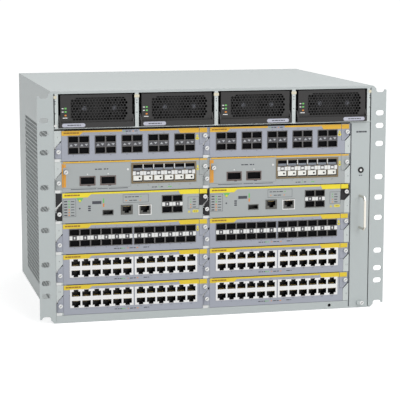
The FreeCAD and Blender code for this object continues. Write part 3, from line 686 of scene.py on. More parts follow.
# %% Digits from the font
def glyph(character):
    """Flat points (x, z) and triangles of one character of unit height."""
    curve = bpy.data.curves.new("glyph", "FONT")
    curve.body = character
    curve.size = 1.0
    curve.resolution_u = 1
    thing = bpy.data.objects.new("glyph", curve)
    mesh = bpy.data.meshes.new_from_object(thing)
    mesh.calc_loop_triangles()
    points = np.zeros(len(mesh.vertices) * 3)
    mesh.vertices.foreach_get("co", points)
    corners = np.zeros(len(mesh.loop_triangles) * 3, np.int32)
    mesh.loop_triangles.foreach_get("vertices", corners)
    bpy.data.objects.remove(thing)
    bpy.data.curves.remove(curve)
    bpy.data.meshes.remove(mesh)
    return points.reshape(-1, 3)[:, :2], corners.reshape(-1, 3)


glyphs = {c: glyph(c) for c in "0123456789"}
DIGIT_STEP = 0.62


def number_parts(text, x, z, size, plane=None):
    """Digits centred on x, standing on z: point = place + size * glyph, on the front plane."""
    y = (front if plane is None else plane) - 0.06
    parts = []
    start = x - size * DIGIT_STEP * len(text) / 2
    for i, character in enumerate(text):
        flat, triangles = glyphs[character]
        points = np.empty((len(flat), 3))
        points[:, 0] = start + size * (flat[:, 0] + i * DIGIT_STEP)
        points[:, 1] = y
        points[:, 2] = z + size * flat[:, 1]
        parts.append((points, triangles))
    return parts


print("digits", len(glyphs), "points each about", len(glyphs["8"][0]))

# %% Port numbers, lamps and legend marks
for card in cards:
    left, low = corner[card]
    kind = kind_of[card]
    base = low + PORT_BASE
    digits = []
    if kind == "jack":
        xs = jacks_up[card][:, 0]
        for i, x in enumerate(xs):
            digits += number_parts(str(2 * i + 1), x, base + 25.9, 2.2)
            digits += number_parts(str(2 * i + 2), x, base - 2.4, 2.2)
    elif kind in ("dense", "cage"):
        xs = cages_low[card][:, :2].mean(1)
        for i, x in enumerate(xs):
            digits += number_parts(str(2 * i + 1), x, base + 25.2, 2.2)
            digits += number_parts(str(2 * i + 2), x, base - 2.4, 2.2)
    elif kind == "expansion":
        xs = cages_low[card][:, :2].mean(1)
        for i, x in enumerate(xs):
            digits += number_parts(str(2 * i + 2), x, low + 5.6, 2.2)
    if digits:
        piece(card + "_port_numbers", digits, dark_print, card)
print("figures on", len(cards), "cards")

# %% [markdown]
# ## Shielding strips and painted glints
# A springy dark gasket closes the gap above each faceplate.  Between the two rows of ports runs
# a dark strip.  On the densest cards it carries small grey triangles, partly the up and down port
# marks and partly painted highlights for the glints between the cages; on the others, white tabs
# bridge from each cage to the next, with a small white piece in the middle that is a painted
# highlight.

# %% Gaskets
for card in cards:
    left, low = corner[card]
    row = [left + 4.0, left + 185.5, front - 0.05, front + 1.0, low + 40.25, low + 41.2]
    if kind_of[card] == "expansion":
        start, end = [10.6, 24.0, 40.5, 52.5, 66.0, 93.0], [22.6, 39.0, 51.0, 64.5, 85.0, 185.5]
        row = [[left + a, left + b, *row[2:4], low + 40.65, low + 41.35] for a, b in zip(start, end)]
    strip = blocks(row)
    piece(card + "_gasket", [strip], black_moulding, card)

# %% Middle strips of the port blocks
def triangle_rows(x, z, half, tall, up):
    """Three-cornered marks about x on height z: (x - half, z), (x + half, z), (x, z + tall)."""
    sign = 1 if up else -1
    shape = np.array([(-half, 0), (half, 0), (0, sign * tall)])
    if not up:
        shape = shape[::-1]
    return np.stack([x, np.full(len(x), z)], 1)[:, None, :] + shape[None]


dark_steel = finish("dark_steel", srgb(74, 74, 78), 0.4, metal=0.5)
glint_grey = finish("glint_grey", srgb(178, 180, 184), 0.4)
shutter_grey = finish("shutter_grey", srgb(128, 134, 144), 0.35)
for card in cages_low:
    kind = kind_of[card]
    lower, upper = cages_low[card], cages_high[card]
    x = lower[:, :2].mean(1)
    z0, z1 = lower[0, 3] + 0.3, upper[0, 2] - 0.3
    middle = (z0 + z1) / 2
    if kind in ("dense", "controller"):
        z0, z1 = middle - 2.6, middle + 2.6
    low_z, high_z = np.full(len(x), z0), np.full(len(x), z1)
    strip_rows = np.stack([x - 6.4, x + 6.4, low_z, high_z], 1)
    piece(card + "_middle_strip", [patches(strip_rows, 0.35, BLOCK_FACE)], dark_steel, card)
    if kind == "dense":
        # painted highlight, partly port marks: grey triangles for the glints between the cages
        upward = triangle_rows(x - 3.0, middle - 1.45, 2.2, 2.9, True)
        downward = triangle_rows(x + 3.0, middle + 1.45, 2.2, 2.9, False)
        glint_triangles = [prisms(rows, BLOCK_FACE - 0.5, BLOCK_FACE - 0.3) for rows in (upward, downward)]
        piece(card + "_strip_windows", glint_triangles, glint_grey, card)
    else:
        # painted highlight: the small middle tab is a white glint; the two side tabs are the strip's own
        # white
        glint_half_width = 1.9 if kind == "expansion" else 0.9
        tabs = [patches(np.stack([x + a, x + b, low_z + cut, high_z - cut], 1), 0.55, BLOCK_FACE)
                for a, b, cut in ((-6.95, -2.9, 0.2), (2.9, 6.95, 0.2), (-glint_half_width, glint_half_width, 1.2))]
        piece(card + "_strip_tabs", tabs, white_moulding, card)
    if kind == "expansion":
        z = np.full(len(x), lower[0, 2])
        flaps = blocks(np.stack([x - 5.9, x + 5.9, np.full(len(x), BLOCK_FACE + 1.2),
                                 np.full(len(x), BLOCK_FACE + 1.6), z + 1.6, z + 8.2], 1))
        piece(card + "_dust_flaps", [flaps], tin_plate, card)
        posts = np.stack([upper[:-1, 1] - 0.4, upper[1:, 0] + 0.4, upper[1:, 3] - 6.4, upper[1:, 3] + 0.2], 1)
        piece(card + "_posts", [patches(posts, 0.3, BLOCK_FACE)], white_moulding, card)
        sill = upper[:, 2]
        shutters = blocks(np.stack([x - 5.9, x + 5.9, np.full(len(x), BLOCK_FACE + 0.8),
                                    np.full(len(x), BLOCK_FACE + 1.2), sill + 0.5, sill + 3.6], 1))
        piece(card + "_shutters", [shutters], shutter_grey, card)
        # painted shade: dark discs on the flaps for their small holes
        dots = np.stack([x + 2.6, z + 4.6], 1)
        shade_holes = [prisms(rounds(dots, 1.3, 12), BLOCK_FACE + 1.1, BLOCK_FACE + 1.2)]
        piece(card + "_flap_dots", shade_holes, dark_hollow, card)
print("strips on", len(cages_low), "cards")

# %% [markdown]
# ## Screw heads
# The levers and the expansion modules end in captive screws with pale round caps and a slot.  A
# cap is a short prism on the knob, and the slot a dark bar laid across it, painted shade for the
# slot's recess.

# %% Caps and slots
def cap_parts(x, z, radius, plane):
    cap = prisms(rounds([(x, z)], radius, 20), plane - 0.5, plane)
    rim = prisms(rounds([(x, z)], radius * 0.6, 20), plane - 0.75, plane - 0.5)
    return [cap, rim]


# painted shade: the slot is a dark bar on the cap, standing for the shade in its recess
def slot_parts(x, z, length, plane, turn=0.6):
    """A bar of two long sides about (x, z), turned: corners = centre + turn(half length, half width)."""
    a, b = length / 2, 0.32
    corners = np.array([(-a, -b), (a, -b), (a, b), (-a, b)])
    spin = np.array([(math.cos(turn), math.sin(turn)), (-math.sin(turn), math.cos(turn))])
    return prisms((corners @ spin)[None] + np.array([x, z]), plane - 0.85, plane - 0.75)


KNOB_FACE = front - 3.6
LOWER_KNOB, UPPER_KNOB = (-4.5, 13.0), (193.6, 30.2)
for card in cards:
    left, low = corner[card]
    for side, knob in (("_left_lever", LOWER_KNOB), ("_right_lever", UPPER_KNOB)):
        lever = card + side
        x, z = left + knob[0], low + knob[1]
        piece(lever + "_cap", cap_parts(x, z, 2.85, KNOB_FACE), white_moulding, lever)
        piece(lever + "_slot", [slot_parts(x, z, 3.2, KNOB_FACE)], dark_print, lever)
for module in ("expansion_module_03", "expansion_module_04"):
    left, low = corner["card_" + module[-2:]]
    x, z = left + 1.6 + 2 + 1.45, low + 38.4 - 11
    piece(module + "_cap", cap_parts(x, z, 2.85, KNOB_FACE), white_moulding, module)
    piece(module + "_slot", [slot_parts(x, z, 3.2, KNOB_FACE)], dark_print, module)
print("caps", 2 * len(cards) + 2)

# %% [markdown]
# ## Legends
# Under the ports a line of small print explains the lamps, as short bars in dark grey, green and
# amber.  Words are left out: short bars of the same length stand for them.

# %% Legend rows
def dashes(x, z, lengths, tall=1.1, gap=1.0):
    """Bars laid end to end from x: each starts where the sum of the ones before it ends."""
    lengths = np.asarray(lengths, float)
    start = x + np.concatenate([[0], np.cumsum(lengths + gap)[:-1]])
    z0 = np.full(len(lengths), float(z))
    return np.stack([start, start + lengths, z0, z0 + tall], 1)


LAMP_STEP = 3.7


def column_of_bars(left, low, count, x0, x1, z0, z1, step=LAMP_STEP):
    """Equal bars one above another: bar i stands step * i above the first."""
    rise = low + step * np.arange(count)
    return np.stack([np.full(count, left + x0), np.full(count, left + x1), z0 + rise, z1 + rise], 1)


dark_rows, green_rows, amber_rows = {}, {}, {}


def print_rows(store, card, rows):
    store.setdefault(card, []).append(np.atleast_2d(rows))


for card in cards:
    left, low = corner[card]
    kind = kind_of[card]
    if kind in ("jack", "cage"):
        z = low + 4.4
        print_rows(dark_rows, card, dashes(left + 69.0, z, [3.4, 2.2, 2.0]))
        print_rows(green_rows, card, dashes(left + 78.5, z, [2.6, 1.6]))
        print_rows(amber_rows, card, dashes(left + 87.0, z, [1.6]))
        print_rows(dark_rows, card, dashes(left + 90.0, z, [4.4, 2.8]))
        print_rows(amber_rows, card, dashes(left + 99.5, z, [2.4]))
        print_rows(dark_rows, card, dashes(left + 109.0, z + 0.2, [5.0, 1.4]))
    elif kind == "dense":
        z = low + 37.6
        print_rows(green_rows, card, dashes(left + 83.0, z, [1.8]))
        print_rows(dark_rows, card, dashes(left + 86.0, z, [3.0, 3.0]))
        print_rows(amber_rows, card, dashes(left + 95.0, z, [1.8]))
        print_rows(dark_rows, card, dashes(left + 98.0, z, [4.0]))
    elif kind == "expansion":
        z = low + 6.0
        print_rows(dark_rows, card, dashes(left + 121.0, low + 3.0, [2.4, 3.6]))
        print_rows(green_rows, card, dashes(left + 130.0, low + 3.0, [1.6]))
        print_rows(dark_rows, card, dashes(left + 133.0, low + 3.0, [3.0]))
        print_rows(green_rows, card, dashes(left + 143.0, low + 3.0, [5.0]))
        vents = dashes(left + 11.6, low + 3.4, [34, 14, 26], 0.8, 1.5)
        print_rows(dark_rows, card, vents)
    else:
        for store, *bars in ((dark_rows, 6, 2.4, 6.6, 10.0, 11.6), (dark_rows, 6, 11.4, 16.0, 10.0, 11.0),
                             (green_rows, 3, 8.2, 9.8, 21.0, 22.8), (amber_rows, 3, 8.2, 9.8, 9.9, 11.7)):
            print_rows(store, card, column_of_bars(left, low, *bars))
        print_rows(dark_rows, card, dashes(left + 84.0, low + 32.2, [3.6, 4.4, 3.0, 5.0]))
        print_rows(dark_rows, card, dashes(left + 90.0, low + 27.4, [4.4, 5.0]))
        print_rows(green_rows, card, dashes(left + 105.0, low + 32.2, [1.8]))
        print_rows(amber_rows, card, dashes(left + 85.0, low + 27.4, [1.8]))
        print_rows(amber_rows, card, dashes(left + 104.0, low + 27.4, [1.8]))
        print_rows(dark_rows, card, [[left + 40.0, left + 52.4, low + 24.6, low + 28.6]])
        print_rows(green_rows, card, [[left + 54.4, left + 56.2, low + 25.8, low + 31.8]])
        print_rows(amber_rows, card, [[left + 54.4, left + 56.2, low + 20.4, low + 25.0]])
        print_rows(dark_rows, card, column_of_bars(left, low, 3, 34.4, 38.0, 15.4, 17.2, 2.8))
        print_rows(green_rows, card, dashes(left + 173.4, low + 26.0, [1.8]))
        print_rows(green_rows, card, dashes(left + 173.4, low + 22.4, [1.8]))
        print_rows(amber_rows, card, dashes(left + 173.4, low + 18.8, [1.8]))
        print_rows(amber_rows, card, dashes(left + 173.4, low + 15.2, [1.8]))
        for i in range(4):
            print_rows(dark_rows, card, dashes(left + 177.0, low + 15.2 + 3.6 * i, [4.6 - 0.6 * (i % 2)]))
for label, store, paint in (("dark", dark_rows, dark_print), ("green", green_rows, lamp_green),
                            ("amber", amber_rows, lamp_amber)):
    for card, rows in store.items():
        piece(f"{card}_legend_{label}", [patches(np.concatenate(rows), 0.1)], paint, card)
print("legends", len(dark_rows))

# %% [markdown]
# ## Honeycomb sheets
# Punched sheet is a honeycomb of six-sided cells.  An open cell is a closed ring between the
# cell's own outline and its smaller hole; a blind cell is a plain six-sided prism.  Together they
# tile the sheet without gaps.  Cell centres: x = pitch * (column + half a step on odd rows),
# z = pitch * sqrt(3) / 2 * row.

# %% Honeycomb cells
def hexagon(radius):
    """Six corners standing on a point, anticlockwise."""
    t = math.pi / 2 + np.arange(6) * math.pi / 3
    return radius * np.stack([np.cos(t), np.sin(t)], 1)


def comb_centres(x0, z0, pitch, columns, rows):
    column, row = np.meshgrid(np.arange(columns), np.arange(rows))
    x = x0 + pitch * (column + 0.5 * (row % 2))
    z = z0 + pitch * math.sqrt(3) / 2 * row
    return np.stack([x, z], -1).reshape(-1, 2)


def open_cells(centres, pitch, hole, y0, y1):
    """Rings of quads: outline at y0, hole at y0, hole at y1, outline at y1, and round again."""
    outer, inner = hexagon(pitch / math.sqrt(3)), hexagon(hole / math.sqrt(3))
    rings = np.empty((len(centres), 4, 6, 3))
    for i, (ring, y) in enumerate(((outer, y0), (inner, y0), (inner, y1), (outer, y1))):
        rings[:, i, :, 0] = centres[:, 0, None] + ring[None, :, 0]
        rings[:, i, :, 1] = y
        rings[:, i, :, 2] = centres[:, 1, None] + ring[None, :, 1]
    a = np.arange(6)
    b = (a + 1) % 6
    quads = np.concatenate([np.stack([a + 6 * i, b + 6 * i, b + 6 * ((i + 1) % 4), a + 6 * ((i + 1) % 4)], 1)
                            for i in range(4)])
    start = (24 * np.arange(len(centres)))[:, None, None]
    return rings.reshape(-1, 3), (quads[None] + start).reshape(-1, 4)


def blind_cells(centres, pitch, y0, y1):
    return prisms(centres[:, None, :] + hexagon(pitch / math.sqrt(3))[None], y0, y1)


print("one open cell has", 24, "faces")

# %% [markdown]
# ## Power modules
# The construction model's grille has few large holes.  Here each module gets the fine one, with
# its chamber, two small fans behind it, lamps and a pale label field on the pull.

# %% Module faces with a fine grille
case_black = finish("case_black", srgb(20, 18, 18), 0.48, grain=0.15, grain_size=1800)
label_grey = finish("label_grey", srgb(188, 190, 204), 0.4)
chrome_ring = finish("chrome_ring", srgb(96, 98, 104), 0.3, metal=1.0)
GRILLE_PITCH, GRILLE_HOLE = 4.1, 3.35
CASE_HALF, CHAMBER = 47.8, 20.0
case_back = front + 286.0


def fan_parts(x, z, y):
    """A fan of radius 15: a hub and seven blades set slantwise."""
    t = 2 * math.pi * np.arange(7) / 7
    hub = prisms(rounds([(x, z)], 6.5, 16), y, y + 6)
    along = np.stack([np.cos(t), np.sin(t)], 1)
    side = np.stack([-np.sin(t), np.cos(t)], 1)
    centre = np.array([x, z])
    shape = [centre + along * out + side * across
             for out, across in ((5.5, -2.2), (14.5, -1.0), (13.8, 4.0), (5.5, 2.2))]
    return [hub, prisms(np.stack(shape, 1), y + 1, y + 3.5)]


for i in range(4):
    module = f"power_module_{i + 1}"
    low, high = box_mm(module)
    middle = (low[0] + high[0]) / 2
    x0, x1, z0, z1 = middle - CASE_HALF, middle + CASE_HALF, low[2], high[2]
    g0, g1 = x0 + 11.8, x1 - 4.0
    h0, h1 = z0 + 8.4, z1 - 2.6
    centres = comb_centres(g0 + 2.1, h0 + 2.4, GRILLE_PITCH, 20, 9)
    cut = (np.minimum(centres[:, 0] - g0, g1 - centres[:, 0])
           + np.minimum(centres[:, 1] - h0, h1 - centres[:, 1]))
    inside = (centres[:, 0] < g1 - 1.9) & (cut > 8.0)
    sheet = [open_cells(centres[inside], GRILLE_PITCH, GRILLE_HOLE, front + 0.02, front + 1.4),
             blind_cells(centres[~inside], GRILLE_PITCH, front + 0.02, front + 1.4)]
    surround = [[x0, g0 + 1.9, front, front + 1.5, z0, z1], [g1 + 0.1, x1, front, front + 1.5, z0, z1],
                [g0 + 1.8, g1 + 0.2, front, front + 1.5, z0, h0 + 1.2],
                [g0 + 1.8, g1 + 0.2, front, front + 1.5, h1 - 1.3, z1]]
    y0, y1 = front + 1.5, front + 1.5 + CHAMBER
    case_rows = [[x0, x0 + 1.5, y0, y1, z0, z1], [x1 - 1.5, x1, y0, y1, z0, z1],
                 [x0 + 1.5, x1 - 1.5, y0, y1, z0, z0 + 1.5], [x0 + 1.5, x1 - 1.5, y0, y1, z1 - 1.5, z1],
                 [x0, x1, y1, case_back, z0, z1],
                 [low[0], x0, front + 4, front + 6, z0 + 13, z0 + 15],
                 [x1, high[0], front + 4, front + 6, z0 + 13, z0 + 15],
                 [middle - 45, middle + 45, case_back, high[1], z0 + 14.7, z0 + 28.7]]
    shell = piece(module + "_case", sheet + [blocks(surround), blocks(case_rows)], case_black, module)
    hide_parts(module)
    fans = fan_parts(middle - 15, (h0 + h1) / 2, front + 8) + fan_parts(middle + 25, (h0 + h1) / 2, front + 8)
    piece(module + "_fans", fans, black_moulding, module)
    rims = [prisms(rounds([(middle - 15, (h0 + h1) / 2), (middle + 25, (h0 + h1) / 2)], 3.2, 16), front + 7.5,
                   front + 8)]
    piece(module + "_fan_hubs", rims, chrome_ring, module)
    lamps = np.array([[x0 + 5.4, x0 + 8.2, z0 + 24.6, z0 + 26.6], [x0 + 5.4, x0 + 8.2, z0 + 20.2, z0 + 22.2]])
    piece(module + "_lamps_green", [patches(lamps, 0.3)], lamp_green, module)
    amber = patches([[x0 + 5.4, x0 + 8.0, z0 + 15.6, z0 + 17.4]], 0.3)
    piece(module + "_lamp_amber", [amber], lamp_amber, module)
    marks = [[x0 + 1.8, x0 + 4.2, z0 + 24.9, z0 + 26.1], [x0 + 1.8, x0 + 4.2, z0 + 20.5, z0 + 21.7],
             [x0 + 3.0, x0 + 9.2, z0 + 12.6, z0 + 13.6]]
    piece(module + "_lamp_marks", [patches(marks, 0.1)], white_print, module)
    bail = module + "_bail"
    bar_low, bar_high = box_mm(bail)
    nodes[bail].data.materials[0] = case_black
    width, z = 30.7, bar_low[2] + 1.0
    a = bar_low[0] + 3.4 if i < 2 else bar_high[0] - 3.4 - width
    t = np.linspace(math.pi / 2, 3 * math.pi / 2, 9)
    r = 2.5
    field = np.concatenate([np.stack([a + r + r * np.cos(t), z + r + r * np.sin(t)], 1),
                            np.stack([a + width - r - r * np.cos(t[::-1]), z + r + r * np.sin(t[::-1])], 1)])
    label = prisms(field[None], bar_low[1] - 0.1, bar_low[1])
    piece(bail + "_label", [label], label_grey, bail)
    lines = dashes(a + 7.0, z + 1.9, [3.2, 4.6, 2.6, 3.4, 1.8], 1.3, 0.6)
    piece(bail + "_label_print", [patches(lines, 0.14, bar_low[1])], dark_print, bail)
print("power modules dressed, cells each", int(inside.sum()))

# %% Clips and rivets on the dividers
clip_tan = finish("clip_tan", srgb(196, 190, 170), 0.35, metal=0.5)
strips = [(-217.3, 4.4), (-108.4, 5.0), (0.0, 5.0), (108.4, 5.0), (217.3, 4.4)]
clips, rivets, feet = [], [], []
for x, width in strips:
    wide = 3.4 if abs(x) < 200 else 1.9
    clips.append([x - wide, x + wide, front - 0.5, front, 300.6, 304.4])
    rivets += [(x, 297.0), (x, 293.8), (x, 281.0)]
    feet.append((x, 265.0))
piece("divider_clips", [blocks(clips)], clip_tan, "chassis")
# painted shade: dark discs for the rivet holes
piece("divider_holes", [prisms(rounds(rivets, 0.75, 10), front - 0.08, front)], dark_print, "chassis")
piece("divider_screws", cap_parts(-217.3, 265.0, 1.9, front), zinc_steel, "chassis")
print("dividers", len(strips))

# %% [markdown]
# ## Perforated sides
# Both side panels are punched in the same honeycomb over nearly their whole length, with a plain
# border.  The pattern is laid out as if on the front and then turned about the upright axis:
# left side (x, y) becomes (y, -x), right side (-y, x), which keeps every face pointing outward.

# %% Side panels
SIDE_PITCH, SIDE_HOLE, SHEET = 6.7, 5.4, 1.5
VENT_FRONT, VENT_BACK, VENT_LOW, VENT_HIGH = 30.0, 297.0, 15.0, 259.0


def turned(parts, side):
    """Parts laid out on the front plane, turned on to the left (-1) or right (1) side."""
    result = []
    for points, *faces in parts:
        x, y, z = points[:, 0], points[:, 1], points[:, 2]
        result.append((np.stack([-side * y, side * x, z], 1), *faces))
    return result


# painted shade: a dark sheet for the shade inside the chassis seen through the side holes
side_gauze = finish("side_gauze", srgb(34, 36, 38), 0.8, vary=0.3, grain_size=2500)
side_columns = int((VENT_BACK - VENT_FRONT) / SIDE_PITCH)
side_rows = int((VENT_HIGH - VENT_LOW) / (SIDE_PITCH * math.sqrt(3) / 2))
for side, node in ((-1, "left_side_panel"), (1, "right_side_panel")):
    low, high = box_mm(node)
    outer = -half_wide
    first = VENT_FRONT + front if side > 0 else -(front + VENT_BACK)
    centres = comb_centres(first + 3.4, VENT_LOW + 3.9, SIDE_PITCH, side_columns, side_rows)
    lowest, highest = centres.min(0), centres.max(0)
    border = ((centres[:, 0] < lowest[0] + 0.1) | (centres[:, 0] > highest[0] - 0.1)
              | (centres[:, 1] < lowest[1] + 0.1) | (centres[:, 1] > highest[1] - 0.1))
    sheet = [open_cells(centres[~border], SIDE_PITCH, SIDE_HOLE, outer + 0.02, outer + 0.4),
             blind_cells(centres[border], SIDE_PITCH, outer + 0.02, outer + 0.4)]
    a, b = sorted((side * front, side * back))
    c, d, e, f = lowest[0] - 0.4, highest[0] + 0.4, lowest[1] - 0.4, highest[1] + 0.4
    rims = blocks([[a, c, outer, outer + SHEET, low[2], high[2]],
                   [d, b, outer, outer + SHEET, low[2], high[2]],
                   [c, d, outer, outer + SHEET, low[2], e], [c, d, outer, outer + SHEET, f, high[2]]])
    fold_a = a if side > 0 else b - SHEET
    fold = blocks([[fold_a, fold_a + SHEET, outer + SHEET, outer + 3.1, SHEET, high[2]]])
    panel = piece(node + "_sheet", turned(sheet + [rims, fold], side), shell_paint, "chassis")
    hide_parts(node)
    # painted shade: a dark sheet just inside the perforation, in place of the chassis' dark inside
    shade_sheet = blocks([[c - 0.5, d + 0.5, outer + 0.42, outer + 1.46, e - 0.5, f + 0.5]])
    piece(node + "_gauze", turned([shade_sheet], side), side_gauze, "chassis")
    spots = [(side * (front + 52), 297.0), (side * (front + 58), 297.0), (side * (front + 14), 296.0)]
    screws = rounds(spots, 1.1, 12)
    piece(node + "_rivets", turned([prisms(screws, outer - 0.3, outer)], side), zinc_steel, "chassis")
print("side cells", len(centres), "open", int((~border).sum()))

# %% [markdown]
# ## Fan tray front
# A dark ring with a pale middle shows the tray's lock, and a captive screw holds its foot.

# %% Lock ring and foot screw
ring_x, ring_z = 205.8, 194.0
screw_x, screw_z, screw_face = 209.0, 7.0, front - 3.6
tray_edge, tray_top = 191.1, 259.0
piece("tray_lock_ring", [prisms(rounds([(ring_x, ring_z)], 4.2, 28), front - 0.5, front)], black_moulding,
      "fan_tray")
piece("tray_lock_middle", [prisms(rounds([(ring_x, ring_z)], 1.7, 20), front - 0.8, front - 0.5)],
      white_moulding, "fan_tray")
piece("tray_lock_mark", [patches(dashes(ring_x - 2.6, ring_z - 8.0, [2.2, 2.0], 1.2, 0.6), 0.08)], dark_print,
      "fan_tray")
piece("tray_legend", [patches(dashes(ring_x - 7.4, 246.0, [3.2, 4.4, 2.4, 3.6], 2.2, 0.5), 0.08)], dark_print,
      "fan_tray")
piece("tray_screw_cap", cap_parts(screw_x, screw_z, 2.8, screw_face), white_moulding, "fan_tray")
piece("tray_screw_slot", [slot_parts(screw_x, screw_z, 3.2, screw_face)], dark_print, "fan_tray")
shadow = patches([[tray_edge - 1.0, tray_edge, 2.5, tray_top]], 0.08)
piece("tray_shadow_line", [shadow], dark_print, "chassis")
print("tray front at x", ring_x)

# %% [markdown]
# ## Lever faces
# Each lever's thin face hides its knuckle and lugs.  The joint between the two levers of
# neighbouring cards is a slanted line: height = middle of the row + x - start of the slant.  The
# faces stop short of it, so that both can swing at once.

# %% Faces of the levers
SLANT_BACK, SLANT_GAP = 2.2, 1.05
LEFT_COLUMN_END = -100.0


def slant_height(x, edge, low):
    return low + card_tall / 2 - SLANT_BACK + x - (edge - 9.0)


for card in cards:
    left, low = corner[card]
    right = left + card_wide
    edge = right + 2.0
    bend = right - 7.6
    inside_x, pin_x, top = right - 12.35, right - 1.7, low + 40.6
    foot = slant_height(bend, edge, low) + SLANT_GAP
    face = [(inside_x, foot), (bend, foot), (pin_x, slant_height(pin_x, edge, low) + SLANT_GAP), (pin_x, top),
            (inside_x, top)]
    lever = card + "_right_lever"
    paint = nodes[lever].data.materials[0]
    piece(lever + "_face", [prisms(np.array([face]), COVER_FACE, front - 0.02)], paint, lever)
    start, end, foot = left - 7.6, left - 0.35, low + 3.8
    face = [(start, foot), (end, foot), (end, slant_height(end, left, low) - SLANT_GAP),
            (start, slant_height(start, left, low) - SLANT_GAP)]
    lever = card + "_left_lever"
    piece(lever + "_face", [prisms(np.array([face]), COVER_FACE, front - 0.02)], paint, lever)
    # painted light: the ledge behind the seam between neighbouring levers is white so the shaded seam reads
    # light
    lightened_ledge = blocks([[left - 9.2, left - 2.1, front + 1.75, front + 2.1, low + 16.2, low + 26.2]])
    piece(card + "_seam_back", [lightened_ledge], white_moulding, "chassis")
    edge_strip = blocks([[left - 1.9, left - 0.05, front + 1.1, front + 1.5, low + 28.0, low + 40.6]])
    piece(card + "_edge_strip", [edge_strip], paint, card)
print("lever faces", 2 * len(cards))

# %% Dark strips beside the controllers
dark_plates = []
for card in ("card_05", "card_06"):
    left, low = corner[card]
    if left < LEFT_COLUMN_END:
        x0, x1, top = left - 8.9, left - 0.5, low + 40.4
        z0, z1 = (slant_height(x, left, low) + 1.4 for x in (x0, x1))
        dark_plates.append([(x0, z0), (x1, z1), (x1, top), (x0, top)])
        line = np.array([[(x0, z0), (x1, z1), (x1, z1 + 1.3), (x0, z0 + 1.3)]])
        piece(card + "_white_seam", [inlay(line, 0.2)], white_print, "chassis")
piece("controller_dark_strip", [inlay(np.array(dark_plates), 0.1)], black_paint, "chassis")
print("dark strips", len(dark_plates))

# %% [markdown]
# ## Row tabs and slot numbers
# A white tab stands at every row boundary beside the cards, and each slot has its number: odd on
# the left strip, even on the right.

# %% Tabs and numbers
LEFT_STRIP, RIGHT_STRIP = -214.5, 187.2
tabs, numbers = [], []
for card in cards:
    left, low = corner[card]
    tabs.append([left - 9.3, left - 2.6, front - 0.25, front, low - 0.4, low + 3.3])
    in_left_column = left < LEFT_COLUMN_END
    x = LEFT_STRIP if in_left_column else RIGHT_STRIP
    z = low + 31.0 if in_left_column else low + 9.0
    numbers += number_parts(str(int(card[-2:])), x, z, 3.0)
piece("row_tabs", [blocks(tabs)], white_moulding, "chassis")
piece("slot_numbers", numbers, dark_print, "chassis")
print("tabs", len(tabs))

# %% [markdown]
# ## Labels and frames of the cards
# Laser cards carry a small yellow label with a sign above it and bars for its print.  The
# controller's lamp legends stand in thin drawn frames, and the expansion cards have orange fields
# beside their modules.

# %% Labels
def frame_rows(x0, x1, z0, z1, line=0.35):
    """Four bars round a box: the outline less the same box moved in by the line width."""
    return [[x0, x1, z0, z0 + line], [x0, x1, z1 - line, z1], [x0, x0 + line, z0 + line, z1 - line],
            [x1 - line, x1, z0 + line, z1 - line]]


def label_outline(x0, x1, z0, z1, cut=1.2):
    return [(x0 + cut, z0), (x1 - cut, z0), (x1, z0 + cut), (x1, z1 - cut), (x1 - cut, z1), (x0 + cut, z1),
            (x0, z1 - cut), (x0, z0 + cut)]


label_yellow = finish("label_yellow", srgb(232, 216, 70), 0.45)
tab_print = finish("tab_print", srgb(150, 108, 30), 0.5)
deep_orange = finish("deep_orange", srgb(226, 158, 52), 0.45)
for card in cards:
    left, low = corner[card]
    kind = kind_of[card]
    if kind != "jack":
        x0, z0, wide = left + 176.6, low + 8.4, 8.6
        if kind != "controller":
            x0, z0 = cages_high[card][:, 1].max() + (2.3 if kind == "expansion" else 1.0), low + 24.4
            wide = min(wide, left + LEVER_EDGE - 0.5 - x0)
        label = np.array([label_outline(x0, x0 + wide, z0, z0 + 3.6)])
        piece(card + "_laser_label", [inlay(label)], label_yellow, card)
        marks = [2.0, 1.6] if wide > 6.0 else [1.8]
        bars = dashes(x0 + 0.25 * wide, z0 + 1.4, marks, 0.9, 0.7)
        piece(card + "_laser_print", [patches(bars, 0.16)], dark_print, card)
        side = (x0 - 4.6, z0 + 0.2) if kind == "controller" else (x0 + wide / 2, z0 + 4.4)
        triangle = [[(side[0] - 1.8, side[1]), (side[0] + 1.8, side[1]), (side[0], side[1] + 3.2)]]
        piece(card + "_laser_sign", [inlay(np.array(triangle))], label_yellow, card)
    if kind == "expansion":
        piece(card + "_orange_field", [patches([[left, left + 1.5, low + 6.6, low + 38.0]], 0.1)],
              deep_orange, card)
    else:
        words = dashes(left + 3.0, low + 36.3, [3.0, 4.6, 2.6, 5.0, 3.2], 2.0, 0.5)
        piece(card + "_tab_print", [patches(words, 0.18)], tab_print, card)
    if kind == "controller":
        frames = frame_rows(left + 1.0, left + 18.1, low + 8.6, low + 32.5)
        frames += frame_rows(left + 81.5, left + 116.3, low + 24.9, low + 36.0)
        frames += frame_rows(left + 170.3, left + 185.8, low + 13.4, low + 30.0)
        piece(card + "_legend_frames", [patches(frames, 0.1)], dark_print, card)
        wedge = [[(left + 18.9, low + 33.4), (left + 23.6, low + 26.8), (left + 28.4, low + 33.4)]]
        piece(card + "_green_mark", [inlay(np.array(wedge))], lamp_green, card)
        button = cap_parts(left + 23.4, low + 29.6, 1.5, front)
        piece(card + "_button", button, label_yellow, card)
        # painted shade: a dark disc for the reset hole
        reset_hole = prisms(rounds([(left + 23.2, low + 19.3)], 1.1, 14), front - 0.1, front)
        piece(card + "_reset", [reset_hole], dark_print, card)
        shield = frame_rows(left + 102.4, left + 120.2, low + 7.6, low + 21.4, 1.1)
        piece(card + "_console_shield", [patches(shield, 0.55)], white_print, card)
